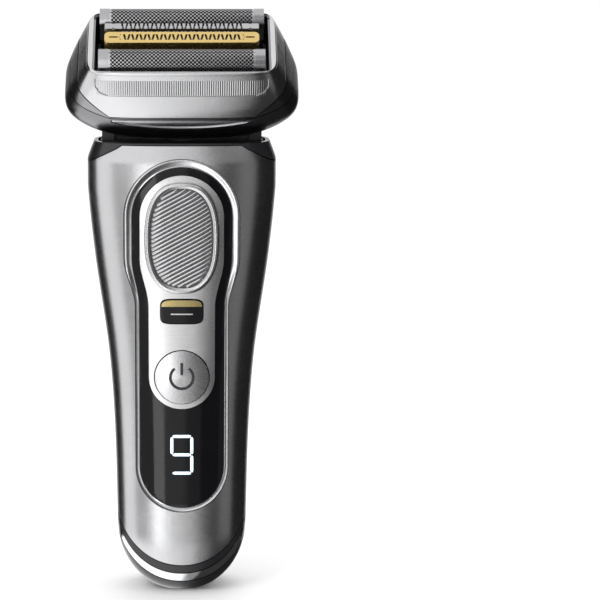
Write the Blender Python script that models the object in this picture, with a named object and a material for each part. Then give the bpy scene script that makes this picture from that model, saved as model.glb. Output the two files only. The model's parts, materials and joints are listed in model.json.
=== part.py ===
"""Electric foil shaver with a tilting head, built as separate parts.

Metres, +Z up.  The shaver stands on its bottom cap, its front faces -Y and its
right-hand side, seen from the front, is +X.  Head parts are modelled in the head's
own frame (u across, v to the rear, w out of the foils) and hang on an empty that
sits on the tilt axis.
"""
import bpy
import bmesh
from math import copysign, cos, pi, radians, sin, sqrt, tan

for leftover in list(bpy.data.objects):
    bpy.data.objects.remove(leftover, do_unlink=True)

MM = 0.001

# ---- clearances -----------------------------------------------------------------
GAP = 0.3 * MM                  # between pieces that are fixed or slide together
SLIDE_GAP = 0.5 * MM            # under the lock switch, which slides over a curve

# ---- whole shaver --------------------------------------------------------------------
FRAME_Y = 1.709 * MM            # brings the middle of the shaver's depth over the origin

# ---- handle: half-width, front depth, back depth at each height --------------------
BOWL_HEIGHT = 20 * MM           # the rounded bottom ends here
BOWL_REACH = 21 * MM            # how far down the full bottom ellipse would reach
HANDLE_TOP = 133.2 * MM
HANDLE_STATIONS = (
    (BOWL_HEIGHT, 18.9 * MM, 13.0 * MM, 13.5 * MM),
    (50 * MM, 19.7 * MM, 13.5 * MM, 14.5 * MM),
    (72 * MM, 21.3 * MM, 14.7 * MM, 16.0 * MM),
    (100 * MM, 25.2 * MM, 16.6 * MM, 18.6 * MM),
    (120 * MM, 27.2 * MM, 16.8 * MM, 18.4 * MM),
    (127.8 * MM, 27.2 * MM, 16.1 * MM, 17.0 * MM),
    (129.8 * MM, 26.6 * MM, 15.5 * MM, 16.2 * MM),
    (HANDLE_TOP, 25.3 * MM, 14.2 * MM, 14.6 * MM),
)
HANDLE_RINGS = (0.7, 2.2, 5, 9, 14, 20, 35, 50, 61, 72, 84, 96, 108, 120, 127.8, 129.8)
HANDLE_POINTS = 32
FRONT_POWER = 3.0               # squareness of the front half of each section
BACK_POWER = 2.5
SHELL_WALL = 1.6 * MM
SPLIT_Y = -3.0 * MM             # the faceplate's rear edge

# ---- bottom: three slices between arcs that run along the bottom ---------------------
ARC_HALF_WIDTH = 20.5 * MM
ARC_RISE = 24 * MM
ARC_STEPS = 14
CAP_EDGE = 3.2 * MM             # top edge of the cap, on the centre line
CHROME_EDGE = 6.0 * MM          # top edge of the chrome band
FACEPLATE_EDGE = 8.9 * MM       # lower edge of the faceplate
BAND_WALL = 2.4 * MM
PLUG_TOP = 10 * MM              # the cap's plug stands this high inside the shell
PLUG_WALL = 2.0 * MM
SOCKET_SIZE = (6.4 * MM, 5.0 * MM)
SOCKET_DEPTH = 7.0 * MM
CHARGE_PIN_RADIUS = 0.6 * MM
CHARGE_PIN_LENGTH = 6.6 * MM
CHARGE_PIN_SPREAD = 1.5 * MM
CHARGE_PIN_TIP = 2.6 * MM       # height of the tips above the flat bottom

# ---- faceplate --------------------------------------------------------------------
FACEPLATE_TOP = 132.6 * MM
CORNER_INNER = (18.5 * MM, 131.6 * MM)
CORNER_OUTER = (26.4 * MM, 127.6 * MM)
PRISM_REACH = 60 * MM

# ---- display panel stack, all outlines share these heights ----------------------------
SHOULDER_HIGH = 100.5 * MM
SHOULDER_LOW = 86.5 * MM
UPPER_CENTRE = 112.5 * MM
PANEL_FOOT = 38.6 * MM
POWER_Z = 65.7 * MM
BEZEL_RADIUS = (16.6 * MM, 13.4 * MM)
PANEL_RADIUS = (14.3 * MM, 12.2 * MM)
PLATE_RADIUS = (12.0 * MM, 9.5 * MM)
BEZEL_INSET = 0.35 * MM
BEZEL_THICK = 1.6 * MM
PANEL_INSET = 0.7 * MM
PANEL_THICK = 1.5 * MM
PLATE_THICK = 0.5 * MM

# ---- lock switch -------------------------------------------------------------------
LOCK_Z = 106.6 * MM
LOCK_HALF = (10.7 * MM, 16.0 * MM)
LOCK_POWER = 2.5
LOCK_THICK = 1.1 * MM
LOCK_RIB = 0.5 * MM
LOCK_FIELD = (8.9 * MM, 14.2 * MM)
LOCK_TRAVEL = 2.0 * MM
STEM_HALF = (3.0 * MM, 4.0 * MM)
SLIDER_HALF = (6.0 * MM, 7.0 * MM)
SLIDER_THICK = 1.2 * MM

# ---- badge, power button, read-out ----------------------------------------------------
BADGE_Z = 85.2 * MM
BADGE_HALF = (6.0 * MM, 3.5 * MM)
BADGE_PROUD = 0.2 * MM
POWER_RADIUS = 7.8 * MM
POWER_PROUD = 0.45 * MM
POWER_THICK = 0.6 * MM
POWER_TRAVEL = 0.5 * MM
POWER_STEM = 1.6 * MM
READOUT_Z = 42.3 * MM
READOUT_HALF = (6.0 * MM, 8.5 * MM)

# ---- inside the handle ----------------------------------------------------------------
BOARD_THICK = 1.2 * MM
BOARD_HALF_WIDTH = 9.0 * MM
BOARD_FRONT_Y = -7.0 * MM
BOARD_SPAN = (30 * MM, 97 * MM)
SWITCH_HALF = 3.0 * MM
SWITCH_HEIGHT = 2.6 * MM
CHASSIS_HALF_WIDTH = 13.0 * MM
CHASSIS_SPAN = (20 * MM, 122 * MM)
CHASSIS_WALL = 1.6 * MM
CHASSIS_FRONT_Y = BOARD_FRONT_Y + BOARD_THICK + GAP
CHASSIS_BACK_Y = 6.0 * MM
BATTERY_RADIUS = 7.0 * MM
BATTERY_SPAN = (26 * MM, 76 * MM)
BATTERY_Y = CHASSIS_FRONT_Y + CHASSIS_WALL + GAP + BATTERY_RADIUS
TAB_THICK = 0.6 * MM
TAB_HALF = 2.5 * MM
BOSS_RADIUS = 2.0 * MM
SCREW_HEAD = 1.9 * MM
SCREW_SHANK = 0.8 * MM
SCREW_LENGTH = 6.0 * MM
SCREW_HEAD_HEIGHT = 1.3 * MM
SCREW_X = 8.6 * MM
SCREW_HEIGHTS = (24.2 * MM, 117.6 * MM)

# ---- long-hair trimmer on the back -------------------------------------------------------
TRIMMER_HALF_WIDTH = 13.0 * MM
TRIMMER_FOOT = 88 * MM
TRIMMER_FLOOR_Y = 14.0 * MM     # front face of the carriage, in its bay
TRIMMER_PROUD = 0.8 * MM        # the carriage stands this far out of the housing
TRIMMER_TOP = 128.0 * MM
BAY_WALL = 1.5 * MM
GRIP_HALF_WIDTH = 7.0 * MM
GRIP_FOOT = 93 * MM
GRIP_PITCH = 2.6 * MM
GRIP_GROOVE = 1.2 * MM
GRIP_COUNT = 5
COMB_HALF_WIDTH_BACK = 11.6 * MM
COMB_FRONT_Y = 16.9 * MM
COMB_THICK = 0.7 * MM
COMB_SPAN = (118 * MM, 131.4 * MM)
BLADE_THICK = 0.7 * MM
BLADE_STROKE = 0.8 * MM
TOOTH_PITCH = 2.0 * MM
TOOTH_GAP = 0.9 * MM
TOOTH_DEPTH = 2.2 * MM

# ---- neck and tilt -------------------------------------------------------------------
PIVOT_Z = 145.6 * MM
REST_TILT = radians(35)
TILT_SWEEP = radians(40)
ARM_X = (19.5 * MM, 23.0 * MM)
ARM_HALF_DEPTH = 3.2 * MM
PIN_RADIUS = 1.35 * MM
PIN_SPAN = (17.6 * MM, 25.4 * MM)
COLLAR_FLOOR = 129.6 * MM
WIRE_HOLE = 3.5 * MM
HUMP_FRONT_Y = 0.0              # low hump of the collar that closes the neck behind the head
HUMP_TOP = 136.2 * MM
HUMP_BEVEL = 1.6 * MM
HEAD_REACH = 45 * MM            # cutters in the head frame run this far

# ---- head: half-width, half-depth and squareness at each height above the tilt axis --------
HEAD_FLOOR = -8 * MM
HEAD_RIM = 20 * MM
HEAD_STATIONS = (
    (HEAD_FLOOR, 22.0 * MM, 9.0 * MM, 3.0),
    (-5 * MM, 27.5 * MM, 12.5 * MM, 3.2),
    (0 * MM, 32.0 * MM, 15.0 * MM, 3.6),
    (5 * MM, 33.5 * MM, 16.0 * MM, 4.4),
    (8 * MM, 33.2 * MM, 16.0 * MM, 5.0),
    (HEAD_RIM, 27.6 * MM, 13.9 * MM, 9.0),
)
HEAD_RINGS = (-6.6, -4.5, -1.5, 2, 5, 8, 12, 16)
HEAD_POINTS = 36
HEAD_WALL = 1.8 * MM
SPLIT_FRONT_W = 6.6 * MM        # base meets cassette frame here at the front and back
SPLIT_SIDE_W = 10.4 * MM        # and here at the sides
SPLIT_FLAT_U = 20.5 * MM
DECK_SPAN = (5.2 * MM, 6.4 * MM)
MOTOR_BAY_HALF = 17.3 * MM
MOTOR_BAY_FLOOR = -5.9 * MM

# ---- front inlay of the head base ------------------------------------------------------
INLAY_HALF_WIDTH = 19.8 * MM
INLAY_SPAN = (1.6 * MM, 5.4 * MM)
INLAY_THICK = 0.8 * MM

# ---- release buttons --------------------------------------------------------------------
RELEASE_HALF_DEPTH = 5.0 * MM
RELEASE_SPAN = (-2.0 * MM, 4.0 * MM)
RELEASE_THICK = 2.0 * MM
RELEASE_POCKET_U = 26.4 * MM    # inner wall of the pocket

# ---- cassette ----------------------------------------------------------------------------
OPENING_HALF = (24.6 * MM, 12.5 * MM)
OPENING_CORNER = 1.2 * MM
PANEL_SKIN = 0.6 * MM           # silver skins on the frame's front and back
SKIN_TOP = 19.2 * MM
SKIN_LOW = 7.6 * MM
SKIN_SIDE_U = 29.4 * MM
SKIN_SIDE_W = 15.0 * MM
SKIN_DEPTH = 3.0 * MM           # the skins wrap the corners up to this v
CARRIER_SPAN = (8.0 * MM, 9.6 * MM)
UNIT_FOOT = 12.2 * MM           # lower face of every floating unit
FLOAT_TRAVEL = 1.8 * MM
STROKE = 1.1 * MM               # the cutters swing this far each way

FOIL_V = 9.0 * MM
FOIL_RADIUS = 3.1 * MM
FOIL_SKIN = 0.35 * MM
FOIL_CENTRE_W = 20.9 * MM
FOIL_HALF_LENGTH = 23.2 * MM
FOIL_FOOT = 15.8 * MM
HOLDER_RING_TOP = 15.4 * MM
HOLDER_END = 1.4 * MM
CUTTER_RADIUS = 2.2 * MM
CUTTER_STEM_HALF = 1.5 * MM
CUTTER_SPINE_TOP = 18.4 * MM
VANE_PITCH = 4.4 * MM
VANE_THICK = 2.0 * MM
PIN_TOP = 13.2 * MM
DRIVE_PIN_HALF = 0.6 * MM

GOLD_V = -1.0 * MM
GOLD_HALF_WIDTH = 2.4 * MM
GOLD_TOP = 22.6 * MM
COMB_V = 3.75 * MM
COMB_HALF_WIDTH = 1.2 * MM
COMB_TOP = 22.8 * MM
GUARD_HALF_LENGTH = 21.9 * MM
GUARD_WALL = 0.45 * MM
GUARD_SLOT = 0.7 * MM
GUARD_SLOT_DEPTH = 1.2 * MM
GUARD_END = 1.0 * MM
GUARD_SLOT_PITCH = 2.8 * MM

# ---- motor ---------------------------------------------------------------------------------
CORE_HALF = (14.0 * MM, 7.6 * MM)
CORE_SPAN = (-5.6 * MM, 1.2 * MM)
TOOTH_HALF = (3.0 * MM, 5.2 * MM)
TOOTH_ROOT = -3.4 * MM
COIL_WALL = (3.0 * MM, 1.8 * MM)
END_TOOTH = 2.6 * MM
COIL_SPAN = (-3.0 * MM, 0.8 * MM)
ARM_BAR_HALF = (12.0 * MM, 1.4 * MM)
ARM_BAR_SPAN = (1.8 * MM, 3.8 * MM)
ARM_BAR_V = 5.0 * MM

# Colour, roughness and metallic value of each finish.
FINISHES = {
    "satin_silver": ((0.66, 0.67, 0.69), 0.34, 0.9),
    "brushed_silver": ((0.72, 0.73, 0.75), 0.28, 1.0),
    "bright_chrome": ((0.82, 0.83, 0.85), 0.1, 1.0),
    "foil_steel": ((0.62, 0.62, 0.64), 0.3, 1.0),
    "blade_steel": ((0.5, 0.51, 0.53), 0.35, 1.0),
    "gold_coating": ((0.78, 0.55, 0.25), 0.28, 1.0),
    "gloss_black": ((0.01, 0.01, 0.012), 0.06, 0.0),
    "soft_black": ((0.025, 0.025, 0.028), 0.5, 0.0),
    "dark_grey": ((0.1, 0.1, 0.11), 0.38, 0.4),
    "inner_plastic": ((0.2, 0.2, 0.22), 0.6, 0.0),
    "white_plastic": ((0.75, 0.75, 0.72), 0.55, 0.0),
    "board_green": ((0.05, 0.2, 0.1), 0.5, 0.0),
    "cell_wrap": ((0.1, 0.28, 0.5), 0.4, 0.0),
    "copper": ((0.72, 0.38, 0.22), 0.35, 1.0),
}


def finish(name):
    """The shared Principled material of one finish, made when first asked for."""
    if name in bpy.data.materials:
        return bpy.data.materials[name]
    colour, roughness, metallic = FINISHES[name]
    material = bpy.data.materials.new(name)
    material.use_nodes = True
    shader = material.node_tree.nodes["Principled BSDF"]
    shader.inputs["Base Color"].default_value = (*colour, 1)
    shader.inputs["Roughness"].default_value = roughness
    shader.inputs["Metallic"].default_value = metallic
    return material


# ---- shapes ------------------------------------------------------------------------
def mesh_object(name, build):
    """A new object whose mesh is filled by build(bm), with its faces turned out."""
    bm = bmesh.new()
    build(bm)
    bmesh.ops.remove_doubles(bm, verts=bm.verts, dist=1e-7)
    bmesh.ops.recalc_face_normals(bm, faces=bm.faces)
    mesh = bpy.data.meshes.new(name)
    bm.to_mesh(mesh)
    bm.free()
    body = bpy.data.objects.new(name, mesh)
    bpy.context.collection.objects.link(body)
    return body


def loft(name, rings):
    """A closed skin through rings of equally many points, capped at both ends."""
    def build(bm):
        loops = [[bm.verts.new(point) for point in ring] for ring in rings]
        count = len(loops[0])
        for lower, upper in zip(loops, loops[1:]):
            for i in range(count):
                j = (i + 1) % count
                bm.faces.new((lower[i], lower[j], upper[j], upper[i]))
        bm.faces.new(loops[0])
        bm.faces.new(loops[-1])
    return mesh_object(name, build)


def box(name, low, high):
    """A box between two corners."""
    corners = ((low[0], low[1]), (high[0], low[1]), (high[0], high[1]), (low[0], high[1]))
    return loft(name, [[(x, y, z) for x, y in corners] for z in (low[2], high[2])])


def prism_y(name, outline, near, far):
    """An (x, z) outline run along Y from near to far."""
    return loft(name, [[(x, y, z) for x, z in outline] for y in (near, far)])


def prism_x(name, outline, near, far):
    """A (y, z) outline run along X from near to far."""
    return loft(name, [[(x, y, z) for y, z in outline] for x in (near, far)])


def prism_z(name, outline, low, high):
    """An (x, y) outline run up from low to high."""
    return loft(name, [[(x, y, z) for x, y in outline] for z in (low, high)])


def circle(centre, radius, count=20):
    """Points of a circle in a plane."""
    turns = [2 * pi * step / count for step in range(count)]
    return [(centre[0] + radius * cos(turn), centre[1] + radius * sin(turn)) for turn in turns]


def oval(centre, half, power, count=32):
    """Points of a superellipse in a plane."""
    points = []
    for step in range(count):
        turn = 2 * pi * step / count
        x = half[0] * copysign(abs(cos(turn)) ** (2 / power), cos(turn))
        y = half[1] * copysign(abs(sin(turn)) ** (2 / power), sin(turn))
        points.append((centre[0] + x, centre[1] + y))
    return points


def rounded(half, radius, count=4):
    """A rectangle round the origin with rounded corners."""
    points = []
    for quarter in range(4):
        side_x = (1, -1, -1, 1)[quarter] * (half[0] - radius)
        side_y = (1, 1, -1, -1)[quarter] * (half[1] - radius)
        turns = [pi / 2 * (quarter + step / count) for step in range(count + 1)]
        points += [(side_x + radius * cos(turn), side_y + radius * sin(turn)) for turn in turns]
    return points


def rectangle(centre, half):
    """Corners of a rectangle in a plane."""
    signs = ((-1, -1), (1, -1), (1, 1), (-1, 1))
    return [(centre[0] + a * half[0], centre[1] + b * half[1]) for a, b in signs]


def combine(target, tool, operation):
    """Apply one exact Boolean to target and use up the tool."""
    step = target.modifiers.new(operation.lower(), "BOOLEAN")
    step.operation = operation
    step.solver = "EXACT"
    step.object = tool
    graph = bpy.context.evaluated_depsgraph_get()
    result = bpy.data.meshes.new_from_object(target.evaluated_get(graph))
    target.modifiers.clear()
    target.data = result
    bpy.data.objects.remove(tool, do_unlink=True)
    return target


def cut(target, *tools):
    for tool in tools:
        combine(target, tool, "DIFFERENCE")
    return target


def keep(target, tool):
    return combine(target, tool, "INTERSECT")


def join(target, *tools):
    for tool in tools:
        combine(target, tool, "UNION")
    return target


def done(body, name, finish_name, parent=None, smooth=32):
    """Name a finished piece, give it its finish and hang it on its parent."""
    bm = bmesh.new()
    bm.from_mesh(body.data)
    bmesh.ops.remove_doubles(bm, verts=bm.verts, dist=2e-6)
    bmesh.ops.dissolve_degenerate(bm, edges=bm.edges, dist=2e-6)
    bm.to_mesh(body.data)
    bm.free()
    body.name = name
    body.data.name = name
    body.data.materials.clear()
    body.data.materials.append(finish(finish_name))
    body.data.shade_smooth()
    body.data.set_sharp_from_angle(angle=radians(smooth))
    if parent:
        body.parent = parent
    return body


def move_origin(body, point):
    """Put the object's origin on a point of its joint axis, leaving the shape in place."""
    for vertex in body.data.vertices:
        for axis in range(3):
            vertex.co[axis] -= point[axis]
    body.location = point


# ---- the handle's outer form ----------------------------------------------------------
def blend(stations, place):
    """Sizes between stations: a smooth cubic through their values."""
    places = [row[0] for row in stations]
    place = min(max(place, places[0]), places[-1])
    span = max(i for i in range(len(places) - 1) if places[i] <= place)
    start, end = stations[span], stations[span + 1]
    length = end[0] - start[0]
    t = (place - start[0]) / length
    before = stations[max(span - 1, 0)]
    after = stations[min(span + 2, len(stations) - 1)]
    sizes = []
    for k in range(1, len(start)):
        rise_in = (end[k] - before[k]) / (end[0] - before[0])
        rise_out = (after[k] - start[k]) / (after[0] - start[0])
        step = (end[k] - start[k]) / length
        rise_in = rise_in if rise_in * step > 0 else 0
        rise_out = rise_out if rise_out * step > 0 else 0
        value = (2 * t**3 - 3 * t**2 + 1) * start[k] + (3 * t**2 - 2 * t**3) * end[k]
        value += length * ((t**3 - 2 * t**2 + t) * rise_in + (t**3 - t**2) * rise_out)
        sizes.append(value)
    return sizes


def handle_size(z):
    """Half-width, front depth and back depth of the handle at a height."""
    if z >= BOWL_HEIGHT:
        return blend(HANDLE_STATIONS, z)
    width, front, back = HANDLE_STATIONS[0][1:]
    fall = min((BOWL_HEIGHT - z) / BOWL_REACH, 0.999)
    round_width = sqrt(1 - fall**2)
    round_depth = (1 - fall**2.6) ** (1 / 2.6)
    return width * round_width, front * round_depth, back * round_depth


def handle_ring(z, inset):
    """One section of the handle, its sides brought in by inset."""
    width, front, back = (max(size - inset, 0.2 * MM) for size in handle_size(z))
    ring = []
    for step in range(HANDLE_POINTS):
        turn = 2 * pi * step / HANDLE_POINTS
        depth, power = (back, BACK_POWER) if sin(turn) > 0 else (front, FRONT_POWER)
        x = width * copysign(abs(cos(turn)) ** (2 / power), cos(turn))
        y = depth * copysign(abs(sin(turn)) ** (2 / power), sin(turn))
        ring.append((x, y, z))
    return ring


def handle_form(inset=0.0, low=None, high=None):
    """The handle's form brought in by inset, between two heights."""
    low = 0.0 if low is None else low
    high = HANDLE_TOP if high is None else high
    heights = [z * MM for z in HANDLE_RINGS if low + 0.4 * MM < z * MM < high - 0.4 * MM]
    return loft("handle_form", [handle_ring(z, inset) for z in (low, *heights, high)])


def arc_height(x, edge):
    """Height of a bottom arc at x, edge being its height on the centre line."""
    return edge + ARC_RISE * (1 - sqrt(max(1 - (x / ARC_HALF_WIDTH) ** 2, 0.0)))


def bottom_arc(edge):
    """Points of a bottom arc from left to right."""
    places = [-ARC_HALF_WIDTH * cos(pi * step / ARC_STEPS) for step in range(ARC_STEPS + 1)]
    return [(x, arc_height(x, edge)) for x in places]


def above_arc(edge):
    """Everything above one of the bottom arcs."""
    side, top = 1.6 * ARC_HALF_WIDTH, 2 * HANDLE_TOP
    sides = [(side, edge + ARC_RISE), (side, top), (-side, top), (-side, edge + ARC_RISE)]
    return prism_y("above_arc", bottom_arc(edge) + sides, -PRISM_REACH, PRISM_REACH)


def bottle(radii, centre_foot, grow=0.0):
    """A bottle-shaped outline: wide round top, waist, narrow round foot."""
    top, low = (radius + grow for radius in radii)
    outline = [(top * cos(pi * k / 14), UPPER_CENTRE + top * sin(pi * k / 14)) for k in range(15)]
    shoulder = []
    for k in range(9):
        t = k / 8
        ease = 3 * t**2 - 2 * t**3
        shoulder.append((top + (low - top) * ease, SHOULDER_HIGH + (SHOULDER_LOW - SHOULDER_HIGH) * t))
    outline += [(-x, z) for x, z in shoulder]
    outline += [(-low * cos(pi * k / 12), centre_foot - low * sin(pi * k / 12)) for k in range(13)]
    outline += list(reversed(shoulder))
    return outline


def front_slab(outline, inset, thickness):
    """A curved slab of the handle's front: an outline cut from between two depths."""
    slab = handle_form(inset)
    keep(slab, prism_y("outline", outline, -PRISM_REACH, SPLIT_Y))
    return cut(slab, handle_form(inset + thickness, low=-1 * MM, high=HANDLE_TOP + 1 * MM))


def through_front(outline):
    """A cutter that goes right through the front wall."""
    return prism_y("through", outline, -PRISM_REACH, SPLIT_Y)


# ---- handle pieces ---------------------------------------------------------------------
def faceplate_outline(grow=0.0):
    """Outline of the faceplate: arc below, square shoulders with cut corners above."""
    edge = FACEPLATE_EDGE - grow
    side = 1.5 * ARC_HALF_WIDTH + grow
    slope = (CORNER_INNER[1] - CORNER_OUTER[1]) / (CORNER_OUTER[0] - CORNER_INNER[0])
    corner_drop = slope * (side - CORNER_OUTER[0])
    right = [
        (side, edge + ARC_RISE),
        (side, CORNER_OUTER[1] - corner_drop + grow),
        (CORNER_INNER[0], CORNER_INNER[1] + grow),
        (CORNER_INNER[0] - 1.5 * MM, FACEPLATE_TOP + grow),
    ]
    left = [(-x, z) for x, z in reversed(right)]
    return bottom_arc(edge) + right + left


def handle_back(x, z):
    """How far back the handle's surface lies at x and z."""
    width, _, back = handle_size(z)
    return back * (1 - (abs(x) / width) ** BACK_POWER) ** (1 / BACK_POWER)


def screw_places():
    """Side and height of each chassis screw."""
    return [(side, z) for z in SCREW_HEIGHTS for side in (-1, 1)]


def make_trimmer_bay(shell):
    """Line and cut the open-topped bay in the back of the housing."""
    half = TRIMMER_HALF_WIDTH + GAP
    floor = TRIMMER_FLOOR_Y - GAP
    foot = TRIMMER_FOOT - GAP
    liner = handle_form(SHELL_WALL / 2)
    wall = BAY_WALL
    liner_low = (-half - wall, floor - wall, foot - wall)
    keep(liner, box("liner", liner_low, (half + wall, PRISM_REACH, HANDLE_TOP + wall)))
    join(shell, liner)
    cut(shell, box("bay", (-half, floor, foot), (half, PRISM_REACH, HANDLE_TOP + wall)))


def make_rear_housing():
    shell = handle_form()
    cut(shell, handle_form(SHELL_WALL, low=-2 * MM, high=HANDLE_TOP + 2 * MM))
    keep(shell, above_arc(CHROME_EDGE + GAP))
    cut(shell, prism_y("faceplate_seat", faceplate_outline(GAP), -PRISM_REACH, SPLIT_Y + GAP))
    make_trimmer_bay(shell)
    for side, z in screw_places():
        x = side * SCREW_X
        start = CHASSIS_FRONT_Y + CHASSIS_WALL + GAP
        end = min(handle_back(x, z), TRIMMER_FLOOR_Y if z > TRIMMER_FOOT else PRISM_REACH) - SHELL_WALL / 2
        boss = prism_y("boss", circle((x, z), BOSS_RADIUS, 14), start, end)
        join(shell, boss)
        cut(shell, prism_y("bore", circle((x, z), SCREW_SHANK + GAP, 10), start - GAP, start + SCREW_LENGTH))
    return done(shell, "rear_housing", "soft_black")


def make_faceplate():
    plate = handle_form()
    cut(plate, handle_form(SHELL_WALL, low=-2 * MM, high=HANDLE_TOP + 2 * MM))
    keep(plate, prism_y("plate_outline", faceplate_outline(), -PRISM_REACH, SPLIT_Y))
    cut(plate, through_front(bottle(BEZEL_RADIUS, PANEL_FOOT, GAP)))
    return done(plate, "front_faceplate", "satin_silver")


def power_face_y():
    """Where the flat face of the power button lies."""
    return -handle_size(POWER_Z)[1] + PANEL_INSET - GAP - PLATE_THICK - POWER_PROUD


def make_panel_stack():
    bezel = front_slab(bottle(BEZEL_RADIUS, PANEL_FOOT), BEZEL_INSET, BEZEL_THICK)
    cut(bezel, through_front(bottle(PANEL_RADIUS, PANEL_FOOT, GAP)))
    done(bezel, "panel_bezel", "brushed_silver")

    stem_slot = (STEM_HALF[0] + GAP, STEM_HALF[1] + LOCK_TRAVEL + GAP)
    panel = front_slab(bottle(PANEL_RADIUS, PANEL_FOOT), PANEL_INSET, PANEL_THICK)
    cut(panel, through_front(rectangle((0, LOCK_Z), stem_slot)))
    cut(panel, through_front(circle((0, POWER_Z), POWER_STEM + GAP)))
    seat_y = power_face_y() + POWER_THICK + POWER_TRAVEL + GAP
    seat = circle((0, POWER_Z), POWER_RADIUS + GAP, 32)
    cut(panel, prism_y("button_seat", seat, -PRISM_REACH, seat_y))
    done(panel, "display_panel", "gloss_black")

    plate = front_slab(bottle(PLATE_RADIUS, POWER_Z), PANEL_INSET - GAP - PLATE_THICK, PLATE_THICK)
    cut(plate, through_front(rectangle((0, LOCK_Z), stem_slot)))
    cut(plate, through_front(seat))
    cut(plate, through_front(oval((0, BADGE_Z), [half + GAP for half in BADGE_HALF], 5)))
    done(plate, "control_plate", "brushed_silver")

    badge_inset = PANEL_INSET - GAP - PLATE_THICK - BADGE_PROUD
    badge = front_slab(oval((0, BADGE_Z), BADGE_HALF, 5), badge_inset, PLATE_THICK)
    done(badge, "badge_plate", "gloss_black")


def make_lock_switch():
    top_inset = PANEL_INSET - GAP - PLATE_THICK - SLIDE_GAP - LOCK_THICK
    cap = front_slab(oval((0, LOCK_Z), LOCK_HALF, LOCK_POWER, 40), top_inset, LOCK_THICK)
    field = front_slab(oval((0, LOCK_Z), LOCK_FIELD, LOCK_POWER, 32), top_inset - 1 * MM, 1 * MM + LOCK_RIB)
    cut(cap, field)
    front = -handle_size(LOCK_Z)[1]
    stem_front = front + top_inset + LOCK_RIB + 0.3 * MM
    stem_back = front + PANEL_INSET + PANEL_THICK + SLIDE_GAP
    stem = box(
        "stem",
        (-STEM_HALF[0], stem_front, LOCK_Z - STEM_HALF[1]),
        (STEM_HALF[0], stem_back, LOCK_Z + STEM_HALF[1]),
    )
    join(cap, stem)
    move_origin(cap, (0, front, LOCK_Z))
    done(cap, "lock_switch", "brushed_silver")

    slider = box(
        "slider",
        (-SLIDER_HALF[0], stem_back + GAP, LOCK_Z - SLIDER_HALF[1]),
        (SLIDER_HALF[0], stem_back + GAP + SLIDER_THICK, LOCK_Z + SLIDER_HALF[1]),
    )
    move_origin(slider, (0, front, LOCK_Z))
    done(slider, "lock_slider", "white_plastic")


def make_power_button():
    face_y = power_face_y()
    stem_end = BOARD_FRONT_Y - GAP - SWITCH_HEIGHT - GAP - POWER_TRAVEL
    disc = prism_y("disc", circle((0, POWER_Z), POWER_RADIUS, 40), face_y, face_y + POWER_THICK)
    stem = prism_y("stem", circle((0, POWER_Z), POWER_STEM, 16), face_y + POWER_THICK / 2, stem_end)
    join(disc, stem)
    move_origin(disc, (0, face_y, POWER_Z))
    done(disc, "power_button", "brushed_silver")


def make_bottom():
    """Cap with its plug and socket, chrome band round the plug, seal and charge pins."""
    cap = handle_form(high=CAP_EDGE + ARC_RISE)
    cut(cap, above_arc(CAP_EDGE))
    plug = handle_form(BAND_WALL + GAP, low=0.6 * CAP_EDGE, high=PLUG_TOP)
    join(cap, plug)
    hollow = handle_form(BAND_WALL + GAP + PLUG_WALL, low=SOCKET_DEPTH + PLUG_WALL, high=PLUG_TOP + 1 * MM)
    cut(cap, hollow)
    socket = prism_z("socket", oval((0, 0), [size / 2 for size in SOCKET_SIZE], 3, 20), -1 * MM, SOCKET_DEPTH)
    cut(cap, socket)
    for side in (-1, 1):
        cut(cap, pin_shape(side, CHARGE_PIN_RADIUS + GAP, SOCKET_DEPTH - 1 * MM, PLUG_TOP))
    done(cap, "bottom_cap", "soft_black")

    band = handle_form(high=CHROME_EDGE + ARC_RISE)
    keep(band, above_arc(CAP_EDGE + GAP))
    cut(band, above_arc(CHROME_EDGE))
    cut(band, handle_form(BAND_WALL, low=-1 * MM, high=50 * MM))
    done(band, "chrome_band", "bright_chrome")

    for side, name in ((-1, "charge_pin_left"), (1, "charge_pin_right")):
        top = CHARGE_PIN_TIP + CHARGE_PIN_LENGTH
        done(pin_shape(side, CHARGE_PIN_RADIUS, CHARGE_PIN_TIP, top), name, "gold_coating")


def pin_shape(side, radius, low, high):
    """A round upright at one charge pin's place."""
    return prism_z("pin", circle((side * CHARGE_PIN_SPREAD, 0), radius, 12), low, high)


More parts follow.
